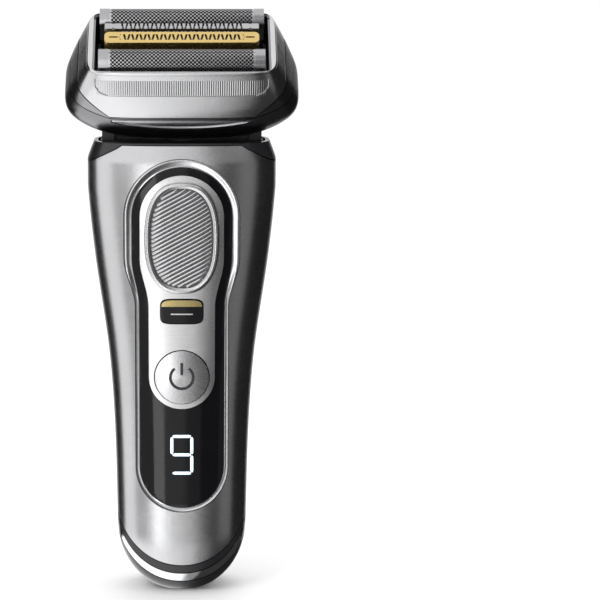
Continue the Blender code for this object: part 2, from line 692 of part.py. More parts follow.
def make_chassis():
    """Channel-shaped frame with its screws, board, switch, read-out and battery."""
    half, wall = CHASSIS_HALF_WIDTH, CHASSIS_WALL
    low, high = CHASSIS_SPAN
    frame = box("frame", (-half, CHASSIS_FRONT_Y, low), (half, CHASSIS_BACK_Y, high))
    cut(frame, box(
        "inside",
        (-half + wall, CHASSIS_FRONT_Y + wall, low + wall),
        (half - wall, CHASSIS_BACK_Y + wall, high - wall),
    ))
    for side, z in screw_places():
        hole = circle((side * SCREW_X, z), SCREW_SHANK + GAP, 10)
        cut(frame, prism_y("hole", hole, CHASSIS_FRONT_Y - wall, CHASSIS_FRONT_Y + 2 * wall))
    done(frame, "inner_chassis", "inner_plastic")

    for number, (side, z) in enumerate(screw_places(), 1):
        place = (side * SCREW_X, z)
        face = CHASSIS_FRONT_Y - GAP
        screw = prism_y("head", circle(place, SCREW_HEAD, 14), face - SCREW_HEAD_HEIGHT, face)
        shank = circle(place, SCREW_SHANK, 8)
        join(screw, prism_y("shank", shank, face - SCREW_HEAD_HEIGHT / 2, face + SCREW_LENGTH))
        done(screw, f"chassis_screw_{number}", "blade_steel")

    back = BOARD_FRONT_Y + BOARD_THICK
    board_low = (-BOARD_HALF_WIDTH, BOARD_FRONT_Y, BOARD_SPAN[0])
    board = box("board", board_low, (BOARD_HALF_WIDTH, back, BOARD_SPAN[1]))
    done(board, "circuit_board", "board_green")

    seat = BOARD_FRONT_Y - GAP
    half = SWITCH_HALF
    switch = box("switch", (-half, seat - SWITCH_HEIGHT, POWER_Z - half), (half, seat, POWER_Z + half))
    done(switch, "power_switch", "soft_black")

    half_x, half_z = READOUT_HALF
    panel_back = -handle_size(READOUT_Z - half_z)[1] + PANEL_INSET + PANEL_THICK
    readout = box(
        "readout",
        (-half_x, panel_back + 2 * GAP, READOUT_Z - half_z),
        (half_x, seat, READOUT_Z + half_z),
    )
    done(readout, "display_module", "white_plastic")

    low, high = BATTERY_SPAN
    done(prism_z("cell", circle((0, BATTERY_Y), BATTERY_RADIUS, 28), low, high), "battery_cell", "cell_wrap")
    for name, z in (("battery_tab_lower", low - GAP - TAB_THICK), ("battery_tab_upper", high + GAP)):
        corner = (-TAB_HALF, CHASSIS_FRONT_Y + CHASSIS_WALL + GAP, z)
        tab = box(name, corner, (TAB_HALF, BATTERY_Y + TAB_HALF, z + TAB_THICK))
        done(tab, name, "blade_steel")


def comb_plate(name, half_width, front_y, thickness, span, pitch):
    """An upright steel plate with teeth along its top edge."""
    plate = box(name, (-half_width, front_y, span[0]), (half_width, front_y + thickness, span[1]))
    count = int((half_width - TOOTH_GAP) / pitch)
    for k in range(-count, count + 1):
        x = k * pitch
        low = (x - TOOTH_GAP / 2, front_y - thickness, span[1] - TOOTH_DEPTH)
        cut(plate, box("tooth_gap", low, (x + TOOTH_GAP / 2, front_y + 2 * thickness, span[1] + TOOTH_DEPTH)))
    return plate


def make_back_trimmer():
    """Pop-up carriage with its fixed comb and the blade that swings behind it."""
    floor = TRIMMER_FLOOR_Y
    half = TRIMMER_HALF_WIDTH
    carriage = handle_form(-TRIMMER_PROUD)
    keep(carriage, box("slab", (-half, floor, TRIMMER_FOOT), (half, PRISM_REACH, TRIMMER_TOP)))
    blade_y = COMB_FRONT_Y - GAP - BLADE_THICK
    slot_half = COMB_HALF_WIDTH_BACK + GAP
    slot_low = (-slot_half, blade_y - GAP, COMB_SPAN[0] - GAP)
    cut(carriage, box("slot", slot_low, (slot_half, COMB_FRONT_Y + COMB_THICK + GAP, PRISM_REACH * 3)))
    for k in range(GRIP_COUNT):
        z = GRIP_FOOT + k * GRIP_PITCH
        depth = handle_back(0, z) + TRIMMER_PROUD - 0.7 * MM
        groove = box("groove", (-GRIP_HALF_WIDTH, depth, z), (GRIP_HALF_WIDTH, PRISM_REACH, z + GRIP_GROOVE))
        cut(carriage, groove)
    move_origin(carriage, (0, floor, TRIMMER_FOOT))
    done(carriage, "trimmer_carriage", "dark_grey")

    comb = comb_plate("comb", COMB_HALF_WIDTH_BACK, COMB_FRONT_Y, COMB_THICK, COMB_SPAN, TOOTH_PITCH)
    done(comb, "trimmer_comb", "blade_steel")
    half = COMB_HALF_WIDTH_BACK - BLADE_STROKE
    span = (COMB_SPAN[0], COMB_SPAN[1] - 2 * GAP)
    blade = comb_plate("blade", half, blade_y, BLADE_THICK, span, 0.8 * TOOTH_PITCH)
    done(blade, "trimmer_blade", "blade_steel")


def make_neck():
    """Collar that closes the handle, with the two arms that carry the head."""
    collar = handle_form(SHELL_WALL + GAP, low=COLLAR_FLOOR)
    back = TRIMMER_FLOOR_Y - GAP - BAY_WALL - GAP
    cut(collar, box("bay_clearance", (-PRISM_REACH, back, 0), (PRISM_REACH, PRISM_REACH, 3 * PRISM_REACH)))
    foot = (COLLAR_FLOOR + HANDLE_TOP) / 2
    hump = [(HUMP_FRONT_Y, foot), (HUMP_FRONT_Y, HUMP_TOP - HUMP_BEVEL)]
    hump += [(HUMP_FRONT_Y + HUMP_BEVEL, HUMP_TOP)]
    hump += [(back - 2 * HUMP_BEVEL, HUMP_TOP), (back - GAP, HANDLE_TOP), (back - GAP, foot)]
    hump = prism_x("hump", hump, -ARM_X[1], ARM_X[1])
    mouth = [(x, y) for x, y, _ in handle_ring(HANDLE_TOP, SHELL_WALL + GAP)]
    join(collar, keep(hump, prism_z("mouth", mouth, COLLAR_FLOOR, 2 * HANDLE_TOP)))
    cut(collar, prism_z("wire_hole", circle((0, WIRE_HOLE), WIRE_HOLE, 12), 0, 3 * PRISM_REACH))
    for side in (-1, 1):
        turns = [pi * k / 10 for k in range(11)]
        top = [(ARM_HALF_DEPTH * cos(a), PIVOT_Z + ARM_HALF_DEPTH * sin(a)) for a in turns]
        outline = [(ARM_HALF_DEPTH, foot), *top, (-ARM_HALF_DEPTH, foot)]
        near, far = sorted(side * x for x in ARM_X)
        arm = prism_x("arm", outline, near, far)
        cut(arm, prism_x("eye", circle((0, PIVOT_Z), PIN_RADIUS + GAP, 16), near - 1 * MM, far + 1 * MM))
        join(collar, arm)
    done(collar, "neck_collar", "soft_black")
    for side, name in ((-1, "pivot_pin_left"), (1, "pivot_pin_right")):
        near, far = sorted(side * x for x in PIN_SPAN)
        done(prism_x(name, circle((0, PIVOT_Z), PIN_RADIUS, 16), near, far), name, "blade_steel")


# ---- head pieces, in the head's own frame -------------------------------------------------
def head_form(inset=0.0, low=None, high=None):
    """The head's form brought in by inset, between two heights."""
    low = HEAD_FLOOR if low is None else low
    high = HEAD_RIM if high is None else high
    heights = [w * MM for w in HEAD_RINGS if low + 0.4 * MM < w * MM < high - 0.4 * MM]
    rings = []
    for w in (low, *heights, high):
        half_width, half_depth, power = blend(HEAD_STATIONS, w)
        ring = oval((0, 0), (half_width - inset, half_depth - inset), power, HEAD_POINTS)
        rings.append([(u, v, w) for u, v in ring])
    return loft("head_form", rings)


def split_outline(offset, far_w):
    """Region on one side of the line where the base meets the cassette frame."""
    slope = (SPLIT_SIDE_W - SPLIT_FRONT_W) / (HEAD_STATIONS[3][1] - SPLIT_FLAT_U)
    side = SPLIT_FRONT_W + offset + slope * (HEAD_REACH - SPLIT_FLAT_U)
    line = [(-HEAD_REACH, side), (-SPLIT_FLAT_U, SPLIT_FRONT_W + offset)]
    line += [(-u, w) for u, w in reversed(line)]
    return line + [(HEAD_REACH, far_w), (-HEAD_REACH, far_w)]


def drive_pins():
    """Arm side, v position and top of every drive pin."""
    short = UNIT_FOOT - FLOAT_TRAVEL - GAP
    return [(-1, -FOIL_V, PIN_TOP), (-1, GOLD_V, PIN_TOP), (1, FOIL_V, PIN_TOP), (1, COMB_V, short)]


def cut_pin_slots(body, low, high):
    """Slots in which the drive pins swing."""
    for _, v, _ in drive_pins():
        half_u = DRIVE_PIN_HALF + STROKE + GAP
        half_v = DRIVE_PIN_HALF + GAP
        cut(body, box("slot", (-half_u, v - half_v, low), (half_u, v + half_v, high)))


def inlay_outline(grow=0.0):
    """Lens shape on the front of the base: straight above, bowed below."""
    low, high = INLAY_SPAN
    half = INLAY_HALF_WIDTH + grow
    rise = 0.85 * (high - low)
    lower = [(half * k / 8, low - grow + rise * (k / 8) ** 2) for k in range(-8, 9)]
    return lower + [(half, high + grow), (-half, high + grow)]


def make_head_base(head):
    base = head_form(high=SPLIT_SIDE_W + 2 * MM)
    keep(base, prism_y("below_split", split_outline(0, -HEAD_REACH), -HEAD_REACH, HEAD_REACH))
    bay = head_form(HEAD_WALL, low=MOTOR_BAY_FLOOR, high=DECK_SPAN[0])
    half = MOTOR_BAY_HALF
    keep(bay, box("bay", (-half, -HEAD_REACH, -HEAD_REACH), (half, HEAD_REACH, HEAD_REACH)))
    cut(base, bay)
    cut(base, head_form(HEAD_WALL, low=DECK_SPAN[0] - GAP, high=HEAD_RIM))
    lean = tan(REST_TILT)
    reach = HEAD_FLOOR
    slot_v = (reach * lean - ARM_HALF_DEPTH / cos(REST_TILT) - 2 * GAP,
              -reach * tan(TILT_SWEEP - REST_TILT) + ARM_HALF_DEPTH + 2 * GAP)
    for side in (-1, 1):
        near, far = sorted((side * (ARM_X[0] - GAP), side * (ARM_X[1] + GAP)))
        slot_top = ARM_HALF_DEPTH + 1.3 * GAP
        cut(base, box("arm_slot", (near, slot_v[0], -HEAD_REACH), (far, slot_v[1], slot_top)))
        near, far = sorted((side * (MOTOR_BAY_HALF - 1 * MM), side * (PIN_SPAN[1] + GAP)))
        cut(base, prism_x("pin_hole", circle((0, 0), PIN_RADIUS + GAP, 16), near, far))
        near, far = sorted((side * RELEASE_POCKET_U, side * HEAD_REACH))
        deep = RELEASE_HALF_DEPTH + GAP
        low, high = RELEASE_SPAN[0] - GAP, RELEASE_SPAN[1] + GAP
        cut(base, box("release_pocket", (near, -deep, low), (far, deep, high)))
    pocket = prism_y("pocket", inlay_outline(GAP), -HEAD_REACH, 0)
    cut(base, cut(pocket, head_form(INLAY_THICK + GAP, high=SPLIT_SIDE_W + 4 * MM)))
    done(base, "head_base", "dark_grey", head)

    inlay = head_form(high=SPLIT_SIDE_W)
    keep(inlay, prism_y("lens", inlay_outline(), -HEAD_REACH, 0))
    cut(inlay, head_form(INLAY_THICK, high=SPLIT_SIDE_W + 2 * MM))
    done(inlay, "head_front_trim", "brushed_silver", head)

    deck = head_form(HEAD_WALL + GAP, low=DECK_SPAN[0], high=DECK_SPAN[1])
    cut_pin_slots(deck, DECK_SPAN[0] - 1 * MM, DECK_SPAN[1] + 1 * MM)
    done(deck, "head_deck", "soft_black", head)


def make_release_buttons(head):
    for side, name in ((-1, "release_button_left"), (1, "release_button_right")):
        near, far = sorted((side * (RELEASE_POCKET_U - 1 * MM), side * HEAD_REACH))
        low, high = RELEASE_SPAN
        button = head_form(high=SPLIT_SIDE_W)
        keep(button, box("block", (near, -RELEASE_HALF_DEPTH, low), (far, RELEASE_HALF_DEPTH, high)))
        cut(button, head_form(RELEASE_THICK, high=SPLIT_SIDE_W + 2 * MM))
        done(button, name, "soft_black", head)


def make_motor(head):
    """Linear motor: stator core, coil, and two armatures that swing against each other."""
    half_u, half_v = CORE_HALF
    core = box("core", (-half_u, -half_v, CORE_SPAN[0]), (half_u, half_v, TOOTH_ROOT))
    places = [(-TOOTH_HALF[0], TOOTH_HALF[0], TOOTH_HALF[1])]
    places += [(half_u - END_TOOTH, half_u, half_v), (-half_u, END_TOOTH - half_u, half_v)]
    for near, far, deep in places:
        join(core, box("tooth", (near, -deep, (CORE_SPAN[0] + TOOTH_ROOT) / 2), (far, deep, CORE_SPAN[1])))
    done(core, "motor_core", "blade_steel", head)

    inner = [half + GAP for half in TOOTH_HALF]
    outer = [size + wall for size, wall in zip(inner, COIL_WALL)]
    coil = prism_z("coil", oval((0, 0), outer, 6, 28), *COIL_SPAN)
    cut(coil, prism_z("hole", rectangle((0, 0), inner), COIL_SPAN[0] - 1 * MM, COIL_SPAN[1] + 1 * MM))
    done(coil, "motor_coil", "copper", head)

    low, high = ARM_BAR_SPAN
    for side, name in ((-1, "drive_arm_front"), (1, "drive_arm_rear")):
        half_u, half_v = ARM_BAR_HALF
        v = side * ARM_BAR_V
        arm = box("bar", (-half_u, v - half_v, low), (half_u, v + half_v, high))
        pins = [(pin_v, top) for arm_side, pin_v, top in drive_pins() if arm_side == side]
        edge = 2 * DRIVE_PIN_HALF
        ends = [pin_v for pin_v, _ in pins]
        cross_low = (-2 * edge, min(ends) - edge, low + 0.1 * MM)
        join(arm, box("cross", cross_low, (2 * edge, max(ends) + edge, high - 0.1 * MM)))
        for pin_v, top in pins:
            size = DRIVE_PIN_HALF
            join(arm, box("pin", (-size, pin_v - size, high - 1 * MM), (size, pin_v + size, top)))
        done(arm, name, "blade_steel", head)


def skin_outline(grow=0.0):
    """Silver skin of the frame: straight foot, diagonal sides, square top."""
    right = [
        (SPLIT_FLAT_U, SKIN_LOW - grow),
        (SKIN_SIDE_U + grow, SKIN_SIDE_W - grow),
        (SKIN_SIDE_U + grow, SKIN_TOP + grow),
    ]
    return right + [(-u, w) for u, w in reversed(right)]


def make_cassette(head):
    """Frame with its silver skins, and the carrier plate the floating units stand over."""
    frame = head_form(low=SPLIT_FRONT_W - 1 * MM)
    keep(frame, prism_y("above_split", split_outline(GAP, HEAD_REACH), -HEAD_REACH, HEAD_REACH))
    cut(frame, prism_z("opening", rounded(OPENING_HALF, OPENING_CORNER), 0, HEAD_REACH))
    for side in (-1, 1):
        near, far = sorted((side * (SKIN_DEPTH - GAP), side * HEAD_REACH))
        pocket = prism_y("pocket", skin_outline(GAP), near, far)
        cut(frame, cut(pocket, head_form(PANEL_SKIN + GAP, low=0, high=HEAD_RIM + 2 * MM)))
    done(frame, "cassette_frame", "soft_black", head)

    for side, name in ((-1, "frame_front_panel"), (1, "frame_rear_panel")):
        near, far = sorted((side * SKIN_DEPTH, side * HEAD_REACH))
        skin = head_form(low=SPLIT_FRONT_W)
        keep(skin, prism_y("skin", skin_outline(), near, far))
        cut(skin, head_form(PANEL_SKIN, low=0, high=HEAD_RIM + 2 * MM))
        done(skin, name, "satin_silver", head)

    low, high = CARRIER_SPAN
    carrier = prism_z("carrier", rounded([half - GAP for half in OPENING_HALF], OPENING_CORNER), low, high)
    cut_pin_slots(carrier, low - 1 * MM, high + 1 * MM)
    done(carrier, "cassette_carrier", "inner_plastic", head)


def arch(radius, v, foot, count=14):
    """Upright arch outline in (v, w): straight legs under a half circle."""
    turns = [pi * k / count for k in range(count + 1)]
    top = [(v + radius * cos(a), FOIL_CENTRE_W + radius * sin(a)) for a in turns]
    return [(v + radius, foot), *top, (v - radius, foot)]


def make_foil_unit(head, side, label):
    """Foil wrapped over its holder, and the vaned cutter that swings under it."""
    v = side * FOIL_V
    length = FOIL_HALF_LENGTH
    foil = prism_x("foil", arch(FOIL_RADIUS, v, FOIL_FOOT), -length, length)
    inside = arch(FOIL_RADIUS - FOIL_SKIN, v, FOIL_FOOT - 1 * MM)
    cut(foil, prism_x("inside", inside, -length - 1 * MM, length + 1 * MM))
    done(foil, f"{label}_foil", "foil_steel", head)

    radius = FOIL_RADIUS - FOIL_SKIN - GAP
    holder = prism_x("holder", arch(radius, v, UNIT_FOOT, 10), -length, length)
    bay = length - HOLDER_END
    cut(holder, box("bay", (-bay, v - 2 * radius, HOLDER_RING_TOP), (bay, v + 2 * radius, HEAD_REACH)))
    channel = CUTTER_STEM_HALF + GAP
    cut(holder, box("channel", (-bay, v - channel, 0), (bay, v + channel, HEAD_REACH)))
    done(holder, f"{label}_foil_holder", "soft_black", head)

    reach = bay - STROKE - GAP
    cutter = prism_x("cutter", arch(CUTTER_RADIUS, v, HOLDER_RING_TOP + GAP, 10), -reach, reach)
    stem = CUTTER_STEM_HALF
    stem_low = (-reach / 2, v - stem, UNIT_FOOT)
    join(cutter, box("stem", stem_low, (reach / 2, v + stem, HOLDER_RING_TOP + 1 * MM)))
    vanes = int((reach - VANE_THICK) / VANE_PITCH)
    half_gap = (VANE_PITCH - VANE_THICK) / 2
    for k in range(-vanes, vanes + 1):
        u = k * VANE_PITCH
        low = (u - half_gap, v - 2 * CUTTER_RADIUS, CUTTER_SPINE_TOP)
        cut(cutter, box("gap", low, (u + half_gap, v + 2 * CUTTER_RADIUS, HEAD_REACH)))
    cut_pin_socket(cutter, v)
    done(cutter, f"{label}_cutter", "blade_steel", head)


def cut_pin_socket(body, v):
    """Pocket from below that takes a drive pin and lets the unit sink onto it."""
    half = DRIVE_PIN_HALF + GAP
    cut(body, box("socket", (-half, v - half, 0), (half, v + half, PIN_TOP + FLOAT_TRAVEL + GAP)))


def make_guard_unit(head, label, finish_name, v, half_width, top, has_socket):
    """Slotted guard and the blade bar that swings inside it."""
    length = GUARD_HALF_LENGTH
    guard = box("guard", (-length, v - half_width, UNIT_FOOT), (length, v + half_width, top))
    inner = half_width - GUARD_WALL
    roof = top - GUARD_WALL
    cut(guard, box("inside", (GUARD_END - length, v - inner, 0), (length - GUARD_END, v + inner, roof)))
    slots = int((length - 2 * GUARD_END) / GUARD_SLOT_PITCH)
    for k in range(-slots, slots + 1):
        u = k * GUARD_SLOT_PITCH
        low = (u - GUARD_SLOT / 2, v - 2 * half_width, top - GUARD_SLOT_DEPTH)
        cut(guard, box("slot", low, (u + GUARD_SLOT / 2, v + 2 * half_width, HEAD_REACH)))
    done(guard, f"{label}_guard", finish_name, head)

    reach = length - GUARD_END - STROKE - GAP
    half = inner - GAP
    blade = box("blade", (-reach, v - half, UNIT_FOOT), (reach, v + half, roof - GAP))
    if has_socket:
        cut_pin_socket(blade, v)
    done(blade, f"{label}_blade", "blade_steel", head)


# ---- assembly --------------------------------------------------------------------------
def add_empty(name, location, tilt, parent):
    """An empty that carries other pieces."""
    empty = bpy.data.objects.new(name, None)
    bpy.context.collection.objects.link(empty)
    empty.location = location
    empty.rotation_euler = (tilt, 0, 0)
    empty.parent = parent
    return empty


def make_shaver():
    make_rear_housing()
    make_faceplate()
    make_panel_stack()
    make_lock_switch()
    make_power_button()
    make_bottom()
    make_chassis()
    make_back_trimmer()
    make_neck()

    frame = add_empty("shaver_frame", (0, FRAME_Y, 0), 0, None)
    for piece in bpy.data.objects:
        if piece.type == "MESH":
            piece.parent = frame
    head = add_empty("head_pivot", (0, 0, PIVOT_Z), REST_TILT, frame)
    make_head_base(head)
    make_release_buttons(head)
    make_motor(head)
    make_cassette(head)
    make_foil_unit(head, -1, "front")
    make_foil_unit(head, 1, "rear")
    make_guard_unit(head, "gold_trimmer", "gold_coating", GOLD_V, GOLD_HALF_WIDTH, GOLD_TOP, True)
    make_guard_unit(head, "comb_trimmer", "foil_steel", COMB_V, COMB_HALF_WIDTH, COMB_TOP, False)


make_shaver()
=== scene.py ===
import json
from math import atan2, copysign, cos, pi, radians, sin, sqrt, tan

import bmesh
import bpy
from mathutils import Matrix, Vector


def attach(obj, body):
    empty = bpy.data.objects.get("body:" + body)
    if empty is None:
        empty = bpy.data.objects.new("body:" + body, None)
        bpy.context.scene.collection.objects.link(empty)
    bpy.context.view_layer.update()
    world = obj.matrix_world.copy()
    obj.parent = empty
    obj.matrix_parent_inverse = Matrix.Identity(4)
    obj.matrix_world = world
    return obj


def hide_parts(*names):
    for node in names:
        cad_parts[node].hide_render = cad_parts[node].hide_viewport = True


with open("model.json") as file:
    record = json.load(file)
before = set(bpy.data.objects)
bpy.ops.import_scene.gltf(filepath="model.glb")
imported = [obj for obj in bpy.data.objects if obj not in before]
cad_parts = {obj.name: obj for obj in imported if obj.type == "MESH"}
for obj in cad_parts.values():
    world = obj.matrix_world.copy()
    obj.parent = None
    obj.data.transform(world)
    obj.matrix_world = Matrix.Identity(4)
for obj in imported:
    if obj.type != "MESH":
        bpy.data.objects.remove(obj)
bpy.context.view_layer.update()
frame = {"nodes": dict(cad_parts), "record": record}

scene = bpy.context.scene
scene.view_settings.view_transform = "Standard"
bpy.ops.object.select_all(action="DESELECT")


# ------------------------------------------------------------------------------------
# Rear housing: the black moulded shell of the handle, with its cut-off top corners and
# the edge that shows below the faceplate.  Fine satin moulding texture, glossier where
# the hand rubs it.
class Signal:
    """A number running through a finish; arithmetic on it adds Math nodes."""

    def __init__(self, finish, socket):
        self.finish = finish
        self.socket = socket

    def math(self, operation, *others):
        """This number worked on by a Math node."""
        return self.finish.node("ShaderNodeMath", {"operation": operation}, [self, *others])

    def __add__(self, other):
        return self.math("ADD", other)

    def __sub__(self, other):
        return self.math("SUBTRACT", other)

    def __rsub__(self, other):
        return self.finish.node("ShaderNodeMath", {"operation": "SUBTRACT"}, [other, self])

    def __mul__(self, other):
        return self.math("MULTIPLY", other)

    def __gt__(self, other):
        return self.math("GREATER_THAN", other)

    def __lt__(self, other):
        return self.math("LESS_THAN", other)

    __radd__ = __add__
    __rmul__ = __mul__

    def clamp(self):
        return self.finish.node("ShaderNodeClamp", {}, [self])


class Finish:
    """A surface finish: one Principled shader and the nodes that vary it."""

    def __init__(self, name, colour, roughness, metallic=0.0, place=None, **fixed):
        self.material = bpy.data.materials.new(name)
        self.material.use_nodes = True
        self.tree = self.material.node_tree
        self.shader = self.tree.nodes["Principled BSDF"]
        self.shader.inputs["Base Color"].default_value = (*colour, 1)
        self.shader.inputs["Roughness"].default_value = roughness
        self.shader.inputs["Metallic"].default_value = metallic
        for socket, value in fixed.items():
            self.shader.inputs[socket.replace("_", " ")].default_value = value
        # Patterns are drawn in millimetres, about the piece's own place if it has one.
        back = place.inverted() if place else Matrix.Scale(1000, 4)
        turned = {
            "Location": back.to_translation(), "Rotation": back.to_euler(), "Scale": back.to_scale(),
        }
        self.spot = self.mapped(self.node("ShaderNodeTexCoord", {}, {}, "Object"), turned)

    def node(self, kind, settings, inputs, output=0):
        """A node of a kind: its settings first, then a value or a link for each input."""
        made = self.tree.nodes.new(kind)
        for key, value in settings.items():
            setattr(made, key, value)
        pairs = inputs.items() if isinstance(inputs, dict) else enumerate(inputs)
        for key, value in pairs:
            if isinstance(value, Signal):
                self.tree.links.new(value.socket, made.inputs[key])
            else:
                made.inputs[key].default_value = value
        return Signal(self, made.outputs[output])

    def mapped(self, spot, how):
        return self.node("ShaderNodeMapping", {"vector_type": "POINT"}, {"Vector": spot, **how})

    def axis(self, index):
        return self.node("ShaderNodeSeparateXYZ", {}, [self.spot], index)

    def noise(self, scale, detail=3, stretched=None):
        spot = self.mapped(self.spot, {"Scale": stretched}) if stretched else self.spot
        return self.node("ShaderNodeTexNoise", {}, {"Vector": spot, "Scale": scale, "Detail": detail})

    def mix(self, factor, first, second):
        parts = {0: factor}
        for key, value in ((6, first), (7, second)):
            parts[key] = value if isinstance(value, Signal) else (*value, 1)
        return self.node("ShaderNodeMix", {"data_type": "RGBA"}, parts, 2)

    def feed(self, socket, signal):
        self.tree.links.new(signal.socket, self.shader.inputs[socket])

    def bump(self, height, distance, strength=1.0):
        """Relief from a height signal, distance in millimetres."""
        parts = {"Height": height, "Distance": distance * 0.001, "Strength": strength}
        self.feed("Normal", self.node("ShaderNodeBump", {}, parts))


def shade_of(colour, factor):
    """A colour made lighter or darker."""
    return tuple(min(value * factor, 1) for value in colour)


def moulded(name, colour, roughness, grain=9.0, relief=0.012, place=None, **fixed):
    """Moulded plastic: fine satin grain, faint cloudiness and rubbed glossier patches."""
    finish = Finish(name, colour, roughness, place=place, **fixed)
    cloud = finish.noise(0.12, 4)
    finish.feed("Base Color", finish.mix(cloud, shade_of(colour, 0.8), shade_of(colour, 1.25)))
    finish.feed("Roughness", (cloud - 0.5) * 0.18 + finish.noise(grain, 2) * 0.08 + (roughness - 0.04))
    finish.bump(finish.noise(grain, 3), relief)
    return finish


handle_top = 133.2
beyond, above = 60.0, 140.0  # clear of the handle's sides and of its top
bowl_height = 20.0
bowl_reach = 21.0
handle_stations = (
    (bowl_height, 18.9, 13.0, 13.5),
    (50.0, 19.7, 13.5, 14.5),
    (72.0, 21.3, 14.7, 16.0),
    (100.0, 25.2, 16.6, 18.6),
    (120.0, 27.2, 16.8, 18.4),
    (127.8, 27.2, 16.1, 17.0),
    (129.8, 26.6, 15.5, 16.2),
    (handle_top, 25.3, 14.2, 14.6),
)
shell_wall = 1.6
seam = 0.3
split_y = -3.0


def between(stations, place):
    """Sizes at a place between stations, on a smooth curve through them."""
    places = [row[0] for row in stations]
    place = min(max(place, places[0]), places[-1])
    span = max(i for i in range(len(places) - 1) if places[i] <= place)
    start, end = stations[span], stations[span + 1]
    length = end[0] - start[0]
    t = (place - start[0]) / length
    before, after = stations[max(span - 1, 0)], stations[min(span + 2, len(stations) - 1)]
    sizes = []
    for k in range(1, len(start)):
        step = (end[k] - start[k]) / length
        rise_in = (end[k] - before[k]) / (end[0] - before[0])
        rise_out = (after[k] - start[k]) / (after[0] - start[0])
        rise_in = rise_in if rise_in * step > 0 else 0
        rise_out = rise_out if rise_out * step > 0 else 0
        value = (2 * t**3 - 3 * t**2 + 1) * start[k] + (3 * t**2 - 2 * t**3) * end[k]
        sizes.append(value + length * ((t**3 - 2 * t**2 + t) * rise_in + (t**3 - t**2) * rise_out))
    return sizes


def handle_size(z):
    """Half-width, front depth and back depth of the handle."""
    if z >= bowl_height:
        return between(handle_stations, z)
    width, front, back = handle_stations[0][1:]
    fall = min((bowl_height - z) / bowl_reach, 0.999)
    deep = (1 - fall**2.6) ** (1 / 2.6)
    return width * sqrt(1 - fall**2), front * deep, back * deep


def front_y(x, z, inset=0.0):
    """Where the handle's front surface lies."""
    width, front, _ = handle_size(z)
    reach = min(abs(x) / (width - inset), 0.999)
    return -(front - inset) * (1 - reach**3) ** (1 / 3)


def handle_ring(z, inset, count):
    """Points round the handle at one height, flatter in front than behind."""
    width, front, back = (max(size - inset, 0.2) for size in handle_size(z))
    ring = []
    for step in range(count):
        turn = 2 * pi * step / count
        depth, power = (back, 2.5) if sin(turn) > 0 else (front, 3.0)
        x = width * copysign(abs(cos(turn)) ** (2 / power), cos(turn))
        y = depth * copysign(abs(sin(turn)) ** (2 / power), sin(turn))
        ring.append((x, y, z))
    return ring


def skin(name, rings, closed=True):
    """A new object skinned through rings of equally many points."""
    shape = bmesh.new()
    loops = [[shape.verts.new(point) for point in ring] for ring in rings]
    count = len(loops[0])
    for lower, upper in zip(loops, loops[1:]):
        for i in range(count):
            j = (i + 1) % count
            shape.faces.new((lower[i], lower[j], upper[j], upper[i]))
    if closed:
        shape.faces.new(loops[0])
        shape.faces.new(loops[-1])
    else:
        for i in range(count):
            j = (i + 1) % count
            shape.faces.new((loops[-1][i], loops[-1][j], loops[0][j], loops[0][i]))
    bmesh.ops.recalc_face_normals(shape, faces=shape.faces)
    mesh = bpy.data.meshes.new(name)
    shape.to_mesh(mesh)
    shape.free()
    piece = bpy.data.objects.new(name, mesh)
    scene.collection.objects.link(piece)
    return piece


def handle_form(inset=0.0, low=0.0, high=handle_top, fine=True):
    """The handle's form, its sides brought in by inset."""
    step = 1.6 if fine else 4.0
    heights = [low]
    z = low
    while z < high - 1.5 * step:
        z += step * (0.3 if z < 8 or z > 124 else 1)
        heights.append(z)
    count = 112 if fine else 64
    return skin("handle_form", [handle_ring(z, inset, count) for z in [*heights, high]])


def block(name, low, high):
    """A box between two corners, from Blender's cube."""
    middle = [(a + b) / 2 for a, b in zip(low, high)]
    bpy.ops.mesh.primitive_cube_add(size=1, location=middle, scale=[b - a for a, b in zip(low, high)])
    return baked(name)


def baked(name):
    """The object just added, renamed, its place and size moved into its mesh."""
    piece = bpy.context.active_object
    bpy.ops.object.transform_apply(location=True, rotation=True, scale=True)
    piece.select_set(False)
    piece.name = name
    return piece


def prism(name, outline, near, far, along="Y"):
    """An outline run along one axis."""
    def spot(a, b, reach):
        return {"X": (reach, a, b), "Y": (a, reach, b), "Z": (a, b, reach)}[along]

    return skin(name, [[spot(a, b, reach) for a, b in outline] for reach in (near, far)])


def shaped(piece, tool, operation):
    """Apply one Boolean and use up the tool."""
    step = piece.modifiers.new(operation.lower(), "BOOLEAN")
    step.object = tool
    step.operation = operation
    step.solver = "EXACT"
    bpy.context.view_layer.objects.active = piece
    bpy.ops.object.modifier_apply(modifier=step.name)
    bpy.data.objects.remove(tool, do_unlink=True)
    return piece


def cut(piece, *tools):
    """Take each tool's form out of the piece."""
    for tool in tools:
        shaped(piece, tool, "DIFFERENCE")
    return piece


def keep(piece, tool):
    """Keep only what lies inside the tool's form."""
    return shaped(piece, tool, "INTERSECT")


def weld(piece, *tools):
    """Join each tool's form to the piece."""
    for tool in tools:
        shaped(piece, tool, "UNION")
    return piece


def rounded_edges(piece, width, segments=2, angle=38):
    """Break the sharp edges with a small round."""
    edge = piece.modifiers.new("edge", "BEVEL")
    edge.width = width
    edge.segments = segments
    edge.limit_method = "ANGLE"
    edge.angle_limit = radians(angle)
    edge.harden_normals = False
    bpy.context.view_layer.objects.active = piece
    bpy.ops.object.modifier_apply(modifier=edge.name)


